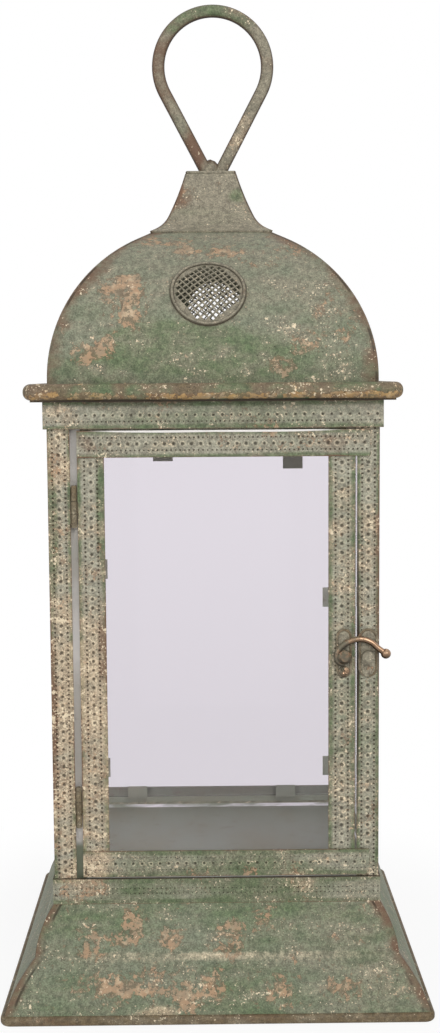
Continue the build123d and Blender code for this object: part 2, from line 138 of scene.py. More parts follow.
class Graph:
    """Short ways to place and join nodes in one tree."""

    def __init__(self, tree):
        self.tree = tree

    def add(self, kind, inputs=None, **settings):
        node = self.tree.nodes.new(kind)
        for key, value in settings.items():
            setattr(node, key, value)
        self.fill(node, inputs or {})
        return node

    def fill(self, node, inputs):
        for key, value in inputs.items():
            self.set(node.inputs[key], value)

    def set(self, socket, value):
        if isinstance(value, bpy.types.NodeSocket):
            self.tree.links.new(value, socket)
        elif socket.type == "RGBA" and len(value) == 3:
            socket.default_value = (*value, 1)
        else:
            socket.default_value = value

    def group(self, name, inputs):
        return self.add("ShaderNodeGroup", inputs, node_tree=shared(name)).outputs

    def math(self, operation, first, second=0.0, clamp=False):
        node = self.add("ShaderNodeMath", {0: first, 1: second}, operation=operation, use_clamp=clamp)
        return node.outputs[0]

    def times(self, value, gain):
        return self.math("MULTIPLY", value, gain)

    def swing(self, value, gain):
        """How far a value lies from one half, times a gain."""
        return self.times(self.math("SUBTRACT", value, 0.5), gain)

    def ramp(self, value, low, high, to_low=0.0, to_high=1.0):
        limits = {"Value": value, "From Min": low, "From Max": high, "To Min": to_low, "To Max": to_high}
        return self.add("ShaderNodeMapRange", limits, interpolation_type="SMOOTHSTEP").outputs[0]

    def mix(self, factor, first, second, blend="MIX"):
        inputs = {"Factor": factor, 6: first, 7: second}
        return self.add("ShaderNodeMix", inputs, data_type="RGBA", blend_type=blend).outputs[2]

    def noise(self, vector, scale, detail=4.0, roughness=0.6, distortion=0.0):
        settings = {"Vector": vector, "Scale": scale, "Detail": detail, "Roughness": roughness}
        return self.add("ShaderNodeTexNoise", {**settings, "Distortion": distortion}).outputs["Fac"]

    def stretched(self, vector, scale=(1, 1, 1), shift=(0, 0, 0)):
        return self.add("ShaderNodeMapping", {"Vector": vector, "Scale": scale, "Location": shift}).outputs[0]

    def axis(self, vector, index):
        return self.add("ShaderNodeSeparateXYZ", {0: vector}).outputs[index]

    def relief(self, shader, strength, depth, height):
        """Bumps a shader's surface by a height map."""
        bump = self.add("ShaderNodeBump", {"Strength": strength, "Distance": depth, "Height": height})
        self.set(shader.inputs["Normal"], bump.outputs[0])


def group_tree(name, inputs, outputs):
    """A shader node group with named sockets: its graph, its inputs by name and its output node."""
    tree = bpy.data.node_groups.new(name, "ShaderNodeTree")
    for label, kind, default in inputs:
        socket = tree.interface.new_socket(label, in_out="INPUT", socket_type=kind)
        if default is not None:
            socket.default_value = default
    for label, kind in outputs:
        tree.interface.new_socket(label, in_out="OUTPUT", socket_type=kind)
    graph = Graph(tree)
    start = graph.add("NodeGroupInput")
    return graph, start.outputs, graph.add("NodeGroupOutput")


VECTOR, COLOUR, VALUE = "NodeSocketVector", "NodeSocketColor", "NodeSocketFloat"


def worn_paint_group():
    """Paint rubbed to its primer, chipped to tan ground, flecked, pitted and browned at its edges."""
    inputs = [("Vector", VECTOR, None)]
    inputs += [(label, COLOUR, None) for label in ("Paint", "Deep", "Taupe", "Chip", "Cream", "Rust", "Pit")]
    inputs += [(label, VALUE, 0.5) for label in ("Wear", "Chips", "Flecks")]
    # Three of these also carry painted light: the deepening input paints shade along strip edges and lifts a
    # crease, the grime input paints shadows, and the last paints a highlight.
    inputs += [(label, VALUE, 0.0) for label in ("Deepen", "Edge", "Grime", "Burr", "Rub")]
    inputs += [("Chip Scale", VALUE, 62)]
    outputs = [("Color", COLOUR), ("Roughness", VALUE), ("Height", VALUE)]
    graph, given, end = group_tree("Worn Paint", inputs, outputs)
    place = given["Vector"]
    coarse = graph.noise(place, 17, 4, 0.55)
    cloud = graph.noise(graph.stretched(place, (1, 1, 1.7), (3, 1, 2)), 75, 8, 0.66)
    fine = graph.noise(place, 430, 5, 0.62)
    grain = graph.noise(place, 1500, 2, 0.5)
    streak = graph.noise(graph.stretched(place, (28, 28, 190)), 1, 6, 0.62)

    shade = graph.math("ADD", graph.times(streak, 0.45), given["Deepen"])
    shade = graph.math("ADD", shade, graph.times(coarse, 0.55))
    tone = graph.mix(graph.ramp(shade, 0.46, 0.84), given["Paint"], given["Deep"])
    rubbed = graph.math("ADD", cloud, graph.swing(given["Wear"], 0.5))
    tone = graph.mix(graph.ramp(rubbed, 0.26, 0.84, 0, 0.9), tone, given["Taupe"])
    wash = graph.math("ADD", given["Flecks"], graph.math("SUBTRACT", cloud, 0.5))
    sand = graph.mix(0.4, given["Chip"], given["Cream"])
    tone = graph.mix(graph.ramp(wash, 0.68, 1.12, 0, 0.65), tone, sand)
    # Painted highlight: a pale tone mixed in where asked, which also holds back the brown edges there.
    rub_and_highlight = graph.times(given["Rub"], 0.9)
    pale = graph.mix(rub_and_highlight, given["Taupe"], given["Cream"])
    scuff = graph.math("ADD", rub_and_highlight, graph.math("SUBTRACT", fine, 0.5))
    tone = graph.mix(graph.ramp(scuff, 0.2, 0.9, 0, 0.85), tone, pale)
    level = graph.times(graph.ramp(fine, 0.3, 0.7, 0.68, 1.22), graph.ramp(grain, 0.32, 0.68, 0.72, 1.18))
    grey = graph.add("ShaderNodeCombineColor", {channel: level for channel in range(3)}).outputs[0]
    tone = graph.mix(1.0, tone, grey, "MULTIPLY")

    ridge = graph.math("ABSOLUTE", graph.math("SUBTRACT", graph.noise(place, 170, 5, 0.62), 0.5))
    flake = graph.noise(graph.stretched(place, shift=(9, 4, 7)), given["Chip Scale"], 10, 0.78, 0.3)
    flake = graph.math("ADD", flake, graph.swing(given["Chips"], 0.32))
    flake = graph.math("SUBTRACT", flake, graph.times(ridge, 1.1))
    crumb = graph.noise(graph.stretched(place, shift=(4, 3, 8)), 300, 5, 0.7)
    bare = graph.times(graph.ramp(flake, 0.56, 0.58), graph.ramp(crumb, 0.43, 0.5, 0.1, 1))
    ring = graph.math("SUBTRACT", graph.ramp(flake, 0.525, 0.557), bare, clamp=True)
    dusted = graph.ramp(graph.noise(place, 210, 5), 0.48, 0.72, 0, 0.5)
    ground = graph.mix(dusted, given["Chip"], given["Cream"])
    filmed = graph.ramp(graph.noise(place, 95, 6, 0.7), 0.44, 0.62, 0, 0.5)
    ground = graph.mix(filmed, ground, given["Taupe"])
    tone = graph.mix(graph.times(ring, 0.5), tone, given["Rust"])
    tone = graph.mix(graph.times(bare, 0.85), tone, ground)

    brown = graph.math("ADD", given["Edge"], graph.swing(cloud, 1.1))
    brown = graph.math("SUBTRACT", brown, given["Rub"])
    tone = graph.mix(graph.ramp(brown, 0.26, 0.85, 0, 0.85), tone, given["Rust"])
    drift = graph.math("ADD", graph.swing(cloud, 0.5), graph.swing(given["Flecks"], 0.17))
    tiny = graph.noise(graph.stretched(place, shift=(5, 8, 1)), 1050, 2, 0.5)
    small = graph.noise(graph.stretched(place, shift=(7, 2, 4)), 470, 4, 0.6)
    fleck = graph.ramp(graph.math("ADD", tiny, drift), 0.69, 0.74)
    fleck = graph.math("MAXIMUM", fleck, graph.ramp(graph.math("ADD", small, drift), 0.68, 0.715))
    tinted = graph.ramp(graph.noise(place, 260, 3), 0.5, 0.62, 0, 0.75)
    tone = graph.mix(graph.times(fleck, 0.88), tone, graph.mix(tinted, given["Cream"], given["Chip"]))
    raised = graph.times(given["Burr"], graph.ramp(fine, 0.4, 0.6, 0, 0.35))
    tone = graph.mix(raised, tone, given["Cream"])
    hole = graph.noise(graph.stretched(place, shift=(2, 6, 9)), 720, 3, 0.55)
    pit = graph.ramp(graph.math("ADD", hole, graph.swing(given["Flecks"], 0.12)), 0.68, 0.73, 0, 0.8)
    # Pits, grime, seams and painted shadows all darken towards the dark colour.
    tone = graph.mix(graph.math("MAXIMUM", pit, given["Grime"], clamp=True), tone, given["Pit"])

    rough = graph.math("ADD", graph.ramp(fine, 0.3, 0.7, 0.52, 0.68), graph.times(bare, 0.2), clamp=True)
    height = graph.math("SUBTRACT", graph.times(fine, 0.5), graph.times(bare, 0.5))
    height = graph.math("ADD", height, graph.times(fleck, 0.3))
    height = graph.math("SUBTRACT", height, graph.times(pit, 0.7))
    graph.fill(end, {"Color": tone, "Roughness": rough, "Height": height})
    return graph.tree


def corner_wear_group():
    """Brown wear along the mitred corners, where x and y are equally far out, and a dark seam beside it."""
    inputs = [("Vector", VECTOR, None), ("Width", VALUE, 0.008), ("Seam", VALUE, 0.004)]
    graph, given, end = group_tree("Corner Wear", inputs, [("Edge", VALUE), ("Seam", VALUE)])
    place = given["Vector"]
    axes = graph.add("ShaderNodeSeparateXYZ", {0: place}).outputs
    across, deep = (graph.math("ABSOLUTE", axes[index]) for index in (0, 1))
    apart = graph.math("ABSOLUTE", graph.math("SUBTRACT", across, deep))
    wander = graph.math("SUBTRACT", graph.noise(place, 40, 6), 0.5)
    reach = graph.math("ADD", graph.math("DIVIDE", apart, given["Width"]), wander)
    line = graph.math("ABSOLUTE", graph.math("SUBTRACT", apart, given["Seam"]))
    broken = graph.ramp(graph.noise(place, 45, 3), 0.42, 0.55)
    seam = graph.times(graph.ramp(line, 0.3 * MM, 0.9 * MM, 0.8, 0), broken)
    graph.fill(end, {"Edge": graph.ramp(reach, 0.0, 1.0, 0.6, 0), "Seam": seam})
    return graph.tree


def patch_group():
    """A soft round bias about one point, to put a chip or a streak where it shows on this lantern."""
    inputs = [("Vector", VECTOR, None), ("Centre", VECTOR, None), ("Stretch", VECTOR, (1, 1, 1))]
    inputs += [("Radius", VALUE, 0.02), ("Strength", VALUE, 0.3)]
    graph, given, end = group_tree("Patch", inputs, [("Value", VALUE)])
    offset = graph.add("ShaderNodeVectorMath", {0: given["Vector"], 1: given["Centre"]}, operation="SUBTRACT")
    scale = {0: offset.outputs[0], 1: given["Stretch"]}
    scaled = graph.add("ShaderNodeVectorMath", scale, operation="MULTIPLY").outputs[0]
    away = graph.add("ShaderNodeVectorMath", {0: scaled}, operation="LENGTH").outputs["Value"]
    share = graph.math("DIVIDE", away, given["Radius"])
    graph.fill(end, {"Value": graph.times(graph.ramp(share, 0.3, 1.0, 1.0, 0.0), given["Strength"])})
    return graph.tree


GROUPS = {"Worn Paint": worn_paint_group, "Corner Wear": corner_wear_group, "Patch": patch_group}


def shared(name):
    return bpy.data.node_groups.get(name) or GROUPS[name]()


def blank_material(name):
    material = bpy.data.materials.new(name)
    material.use_nodes = True
    material.node_tree.nodes.clear()
    graph = Graph(material.node_tree)
    place = graph.add("ShaderNodeTexCoord").outputs["Object"]
    shader = graph.add("ShaderNodeBsdfPrincipled")
    graph.add("ShaderNodeOutputMaterial", {"Surface": shader.outputs[0]})
    return material, graph, place, shader


def patches(graph, place, spots):
    """Sum of the patches in a list of (centre in mm, radius in mm, strength, stretch unless it is round)."""
    total = 0.0
    for centre, radius, strength, *stretch in spots:
        values = {"Vector": place, "Centre": Vector(centre) * MM, "Radius": radius * MM}
        values.update({"Strength": strength, "Stretch": stretch[0] if stretch else (1, 1, 1)})
        total = graph.math("ADD", graph.group("Patch", values)["Value"], total)
    return total


def painted(
    name,
    tones,
    levels,
    marks=None,
    corner=None,
    strip=False,
    grooved=False,
    bump=0.3,
    ground="chip",
    edge=0.0,
    chip_scale=62,
):
    """Worn paint on tin.

    tones are the colours for Paint, Deep and Rust, and levels are Wear, Chips and Flecks.
    marks are lists of patches for the paint's inputs, and for Bare, a pale line of worn tin that is also a
    painted highlight.
    corner is the width of the worn band along a mitre and how far from it the seam runs, in mm.
    strip and grooved read the place across a strip, painting shade at its edges, and the pit attribute: grime
    in punch marks and painted shade at the foot of a vent's rim.
    """
    colours = bpy.context.scene.lantern_colours
    material, graph, place, shader = blank_material(name)
    values = {"Vector": place, "Taupe": colours.taupe, "Cream": colours.cream, "Pit": colours.pit}
    values.update({"Chip": getattr(colours, ground), "Edge": edge, "Chip Scale": chip_scale})
    values.update({label: getattr(colours, tone) for label, tone in zip(("Paint", "Deep", "Rust"), tones)})
    values.update(zip(("Wear", "Chips", "Flecks"), levels))
    marks = dict(marks or {})
    bare = marks.pop("Bare Glint", None)
    for label, spots in marks.items():
        values[label] = graph.math("ADD", patches(graph, place, spots), values.get(label, 0.0))
    if corner:
        width, seam = corner
        rub_and_highlight = graph.group("Corner Wear", {"Vector": place, "Width": width * MM, "Seam": seam * MM})
        values["Edge"] = graph.math("ADD", rub_and_highlight["Edge"], values["Edge"])
        values["Grime"] = rub_and_highlight["Seam"]
    if strip:
        row = graph.axis(graph.add("ShaderNodeUVMap", uv_map="UVMap").outputs[0], 1)
        inset = graph.math("MINIMUM", row, graph.math("SUBTRACT", 1.0, row))
        values["Edge"] = graph.math("ADD", graph.ramp(inset, 0.0, 0.08, 0.6, 0.0), values["Edge"])
        # Deeper green towards the strip's edges: painted shade on its turned edges.
        shaded = graph.ramp(inset, 0.0, 0.24, 0.42, 0.0)
        values["Deepen"] = graph.math("ADD", shaded, values.get("Deepen", 0.0))
    if strip or grooved:
        # The pit attribute darkens punch marks, which is grime, and a vent rim's foot, which is painted
        # shade.
        driven = graph.add("ShaderNodeAttribute", attribute_name="pit").outputs["Fac"]
        dirt_and_shade = graph.ramp(driven, -0.1, 0.4, 0.0, 0.78)
        values["Grime"] = graph.math("MAXIMUM", dirt_and_shade, values.get("Grime", 0.0))
        values["Burr"] = graph.ramp(driven, -0.1, -0.45, 0.0, 1.0)
    coat = graph.group("Worn Paint", values)
    colour = coat["Color"]
    # A pale line of worn tin that is also a painted highlight.
    if bare:
        colour = graph.mix(patches(graph, place, bare), colour, colours.bright)
    graph.fill(shader, {"Base Color": colour, "Roughness": coat["Roughness"], "Specular IOR Level": 0.25})
    graph.relief(shader, bump, 0.5 * MM, coat["Height"])
    return material


def bronze(name):
    """Bronze under a dark film, rubbed to copper most of all at the hook's tip, and darker on faces turned
    down as painted shade.
    """
    colours = bpy.context.scene.lantern_colours
    material, graph, place, shader = blank_material(name)
    kept = graph.ramp(graph.axis(place, 0), 0.056, 0.074, 0.06, -0.22)
    film = graph.ramp(graph.math("ADD", graph.noise(place, 240, 6, 0.65), kept), 0.36, 0.56)
    # Faces turned down are darkened: painted shade under the hook.
    facing = graph.axis(graph.add("ShaderNodeTexCoord").outputs["Normal"], 2)
    underside_shade = graph.ramp(facing, -0.7, 0.45, 0.85, 0.0)
    colour = graph.mix(underside_shade, graph.mix(film, colours.bronze, colours.patina), colours.pit)
    metal, rough = graph.ramp(film, 0, 1, 0.85, 0.25), graph.ramp(film, 0, 1, 0.22, 0.5)
    graph.fill(shader, {"Base Color": colour, "Metallic": metal, "Roughness": rough})
    graph.relief(shader, 0.25, 0.4 * MM, film)
    return material


def dull_tin(name, tone, streaky, foot=0.0):
    """Grey tin inside the lantern, smudged, painted green below the height of its foot."""
    colours = bpy.context.scene.lantern_colours
    material, graph, place, shader = blank_material(name)
    smudge = graph.noise(graph.stretched(place, (1, streaky, 1)), 26, 6, 0.6)
    colour = graph.mix(graph.ramp(smudge, 0.35, 0.65, 0, 0.5), getattr(colours, tone), colours.taupe)
    dirt_and_shade = graph.ramp(graph.noise(place, 210, 5, 0.6), 0.56, 0.7, 0, 0.3)
    colour = graph.mix(dirt_and_shade, colour, colours.rust)
    if foot:
        bared = graph.ramp(graph.axis(place, 2), foot, foot + 4 * MM)
        colour = graph.mix(bared, colours.green, colour)
    graph.fill(shader, {"Base Color": colour, "Roughness": graph.ramp(smudge, 0.3, 0.7, 0.45, 0.62)})
    graph.relief(shader, 0.15, 0.4 * MM, dirt_and_shade)
    return material


def glass(name):
    """Clear glass, a little darker towards its foot, with a faint film."""
    colours = bpy.context.scene.lantern_colours
    material, graph, place, shader = blank_material(name)
    # The pane is a little darker towards its foot.
    darker_tint = graph.mix(0.045, colours.glass, colours.pit)
    colour = graph.mix(graph.ramp(graph.axis(place, 2), 0.07, 0.25), darker_tint, colours.glass)
    film = graph.ramp(graph.noise(place, 35, 5, 0.6), 0.5, 0.75, 0.0, 0.03)
    graph.fill(shader, {"Base Color": colour, "Roughness": film, "Transmission Weight": 1.0, "IOR": 1.2})
    return material


def finished(name, mesh, material, body, replaced=()):
    """Makes a piece of a mesh that is already in place, and ties it to its body."""
    mesh.materials.clear()
    mesh.materials.append(material)
    piece = bpy.data.objects.new(name, mesh)
    bpy.context.scene.collection.objects.link(piece)
    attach(piece, body)
    if replaced:
        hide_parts(*replaced)
    return piece


def mesh_from(form, name):
    mesh = bpy.data.meshes.new(name)
    form.to_mesh(mesh)
    form.free()
    return mesh


def formed(name, form, material, body, replaced=()):
    """Makes a piece of a form that has been edited."""
    return finished(name, mesh_from(form, name), material, body, replaced)


def shade_smooth(form):
    for face in form.faces:
        face.smooth = True


def quarter_turn(quarter):
    """Turns a piece from the front to another side."""
    return Matrix.Rotation(quarter * math.pi / 2, 4, "Z")


def middle_of(node):
    low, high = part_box(node)
    return (low + high) / 2


def coat_nodes(material, *nodes):
    """Gives CAD nodes that keep their own mesh a better material."""
    for node in nodes:
        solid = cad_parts[node]
        solid.data.materials.clear()
        solid.data.materials.append(material)


def smoothed(node, material, body="lantern", crease=32, shrink=0.0):
    """A copy of a node with its loose triangles merged and its curves shaded smooth up to the crease angle.

    shrink moves its faces inwards, to part it from faces that it touches.
    """
    form = bmesh.new()
    form.from_mesh(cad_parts[node].data)
    bmesh.ops.remove_doubles(form, verts=form.verts[:], dist=2 * MERGE)
    shade_smooth(form)
    for edge in form.edges:
        edge.smooth = len(edge.link_faces) == 2 and edge.calc_face_angle(0) < math.radians(crease)
    if shrink:
        middle = middle_of(node)
        for vert in form.verts:
            vert.co -= Vector([math.copysign(shrink, away) for away in vert.co - middle])
    return formed(node + "_skin", form, material, body, (node,))


def punched_tile(name, width, rows, depth):
    """One pitch of a punched strip: x along it, y across it, marks driven in along -z.

    rows are (offset across, radius, marks in a pitch).
    """
    pitch = bpy.context.scene.lantern_sizes.punch_pitch
    half = width / 2
    points = [Vector(corner) for corner in ((0, -half), (pitch, -half), (pitch, half), (0, half))]
    edges = [(0, 1), (1, 2), (2, 3), (3, 0)]
    marked = {}
    for offset, radius, count in rows:
        lip, sides = LARGE_MARK if count == 1 else SMALL_MARK
        for step in range(count):
            middle = Vector(((step + 0.5) * pitch / count, offset))
            first = len(points)
            for share in (1.0, lip):
                start = len(points)
                for turn in range(sides):
                    angle = turn * math.tau / sides
                    points.append(middle + share * radius * Vector((math.cos(angle), math.sin(angle))))
                    edges.append((start + turn, start + (turn + 1) % sides))
            for turn in range(sides):
                marked[first + turn] = (0.1 * radius, -1.5 * (lip - 1))
            marked[len(points)] = (-min(depth, radius * 0.6), 1.0)
            points.append(middle)
    flat, _, faces, sources, _, _ = delaunay_2d_cdt(points, edges, [], 0, TOUCH)
    struck = []
    for origin in sources:
        struck.append(next((marked[source] for source in origin if source in marked), (0.0, 0.0)))
    mesh = bpy.data.meshes.new(name)
    mesh.from_pydata([(p.x, p.y, rise) for p, (rise, _) in zip(flat, struck)], [], faces)
    marks = mesh.attributes.new("pit", "FLOAT", "POINT")
    marks.data.foreach_set("value", [pit for _, pit in struck])
    sheet = mesh.uv_layers.new(name="UVMap")
    for loop in mesh.loops:
        spot = flat[loop.vertex_index]
        sheet.data[loop.index].uv = (spot.x / pitch, spot.y / width + 0.5)
    tile = bpy.data.objects.new(name, mesh)
    bpy.context.scene.collection.objects.link(tile)
    return tile


def strip_tree():
    """Geometry nodes: a row of tiles, each picked at random from three, joined into one sheet."""
    tree = bpy.data.node_groups.new("Punched Strip", "GeometryNodeTree")
    sockets = [("Count", "NodeSocketInt"), ("Pitch", "NodeSocketFloat"), ("Seed", "NodeSocketInt")]
    sockets += [(f"Tile {letter}", "NodeSocketObject") for letter in "ABC"]
    sockets += [("Material", "NodeSocketMaterial")]
    for label, kind in [("Geometry", "NodeSocketGeometry")] + sockets:
        tree.interface.new_socket(label, in_out="INPUT", socket_type=kind)
    tree.interface.new_socket("Geometry", in_out="OUTPUT", socket_type="NodeSocketGeometry")
    graph = Graph(tree)
    given = graph.add("NodeGroupInput").outputs
    step = graph.add("ShaderNodeCombineXYZ", {0: given["Pitch"]}).outputs[0]
    line = graph.add("GeometryNodeMeshLine", {"Count": given["Count"], "Offset": step}).outputs[0]
    choice = graph.add("GeometryNodeGeometryToInstance")
    for letter in "CBA":
        info = graph.add("GeometryNodeObjectInfo", {"Object": given[f"Tile {letter}"]})
        tree.links.new(info.outputs["Geometry"], choice.inputs[0])
    pick = graph.add("FunctionNodeRandomValue", {"Seed": given["Seed"]}, data_type="INT")
    graph.fill(pick, {4: 0, 5: 2})
    row = graph.add("GeometryNodeInstanceOnPoints", {"Points": line, "Instance": choice.outputs[0]})
    graph.fill(row, {"Pick Instance": True, "Instance Index": pick.outputs[2]})
    real = graph.add("GeometryNodeRealizeInstances", {0: row.outputs[0]})
    sheet = graph.add("GeometryNodeMergeByDistance", {"Geometry": real.outputs[0], "Distance": MERGE})
    skin = graph.add("GeometryNodeSetMaterial", {"Geometry": sheet.outputs[0], "Material": given["Material"]})
    graph.add("NodeGroupOutput", {0: skin.outputs[0]})
    return tree


def grown(tree, values):
    """Runs a geometry tree on an empty mesh and returns the result as a plain mesh."""
    carrier = bpy.data.objects.new("carrier", bpy.data.meshes.new("carrier"))
    bpy.context.scene.collection.objects.link(carrier)
    modifier = carrier.modifiers.new("tree", "NODES")
    modifier.node_group = tree
    for item in tree.interface.items_tree:
        if item.in_out == "INPUT" and item.name in values:
            modifier[item.identifier] = values[item.name]
    depsgraph = bpy.context.evaluated_depsgraph_get()
    shape = carrier.evaluated_get(depsgraph)
    mesh = bpy.data.meshes.new_from_object(shape, preserve_all_data_layers=True, depsgraph=depsgraph)
    carrier.modifiers.remove(modifier)
    bpy.data.objects.remove(carrier)
    return mesh


class Strip:
    """Gathers punched faces and plain faces into one closed strip."""

    def __init__(self, name):
        self.name = name
        self.form = bmesh.new()
        self.marks = self.form.verts.layers.float.new("pit")
        self.sheet = self.form.loops.layers.uv.new("UVMap")

    def plain(self, corners, *rows):
        """A flat face. rows are its corners' places across the strip, from 0 to 1, or one for all."""
        face = self.form.faces.new([self.form.verts.new(corner) for corner in corners])
        for loop, row in zip(face.loops, rows if len(rows) > 1 else rows * len(corners)):
            loop[self.sheet].uv = (0, row)

    def punched(self, tiles, material, origin, along, across, size):
        """A punched face from origin, its lower left corner: size is its length and width."""
        settings = bpy.context.scene.lantern_sizes
        pitch = settings.punch_pitch
        run, width = size
        count = int(run / pitch)
        spare = (run - count * pitch) / 2
        origin, along, across = Vector(origin), Vector(along), Vector(across)
        seed = settings.seed + len(self.form.verts) % 97
        values = {"Count": count, "Pitch": pitch, "Seed": seed, "Material": material}
        values.update({f"Tile {letter}": tile for letter, tile in zip("ABC", tiles)})
        mesh = grown(strip_tree_shared(), values)
        turn = Matrix((along, across, along.cross(across))).transposed().to_4x4()
        place = Matrix.Translation(origin + along * spare + across * width / 2) @ turn
        mesh.transform(place)
        self.form.from_mesh(mesh)
        bpy.data.meshes.remove(mesh)
        for start in (0, run - spare):
            self.plain(self.oblong(origin + along * start, along * spare, across * width), 0, 0, 1, 1)

    def back_and_sides(self, origin, along, across, size, thick):
        """The rest of an oblong strip behind a punched face."""
        run, width = size
        along, across = Vector(along), Vector(across)
        back = along.cross(across) * -thick
        ring = self.oblong(Vector(origin), along * run, across * width)
        for first, second in zip(ring, ring[1:] + ring[:1]):
            self.plain([second, first, first + back, second + back], 0)
        self.plain([corner + back for corner in reversed(ring)], 0.5)

    @staticmethod
    def oblong(low, along, across):
        return [low, low + along, low + along + across, low + across]

    def turn(self, quarter):
        bmesh.ops.transform(self.form, matrix=quarter_turn(quarter), verts=self.form.verts[:])

    def done(self, material, body, replaced):
        bmesh.ops.remove_doubles(self.form, verts=self.form.verts[:], dist=MERGE)
        return formed(self.name, self.form, material, body, replaced)


def strip_tree_shared():
    return bpy.data.node_groups.get("Punched Strip") or strip_tree()


def tile_set(label, width, fine, large=1.0, small=1.0):
    """Three like tiles with marks struck a little harder or softer.

    fine holds the rows of small marks beside the large ones. large and small scale the two kinds.
    """
    sizes = bpy.context.scene.lantern_sizes
    tiles = []
    for letter, force in zip("ABC", (1.0, 0.86, 1.1)):
        rows = [(0.0, sizes.punch_radius * force * large, 1)] if large else []
        rows += [(offset, sizes.dot_radius * force * small, 2) for offset in fine]
        tiles.append(punched_tile(f"tile_{label}_{letter}", width, rows, sizes.punch_depth * force))
    return tiles


def remove_tiles(tiles):
    for tile in tiles:
        bpy.data.objects.remove(tile)


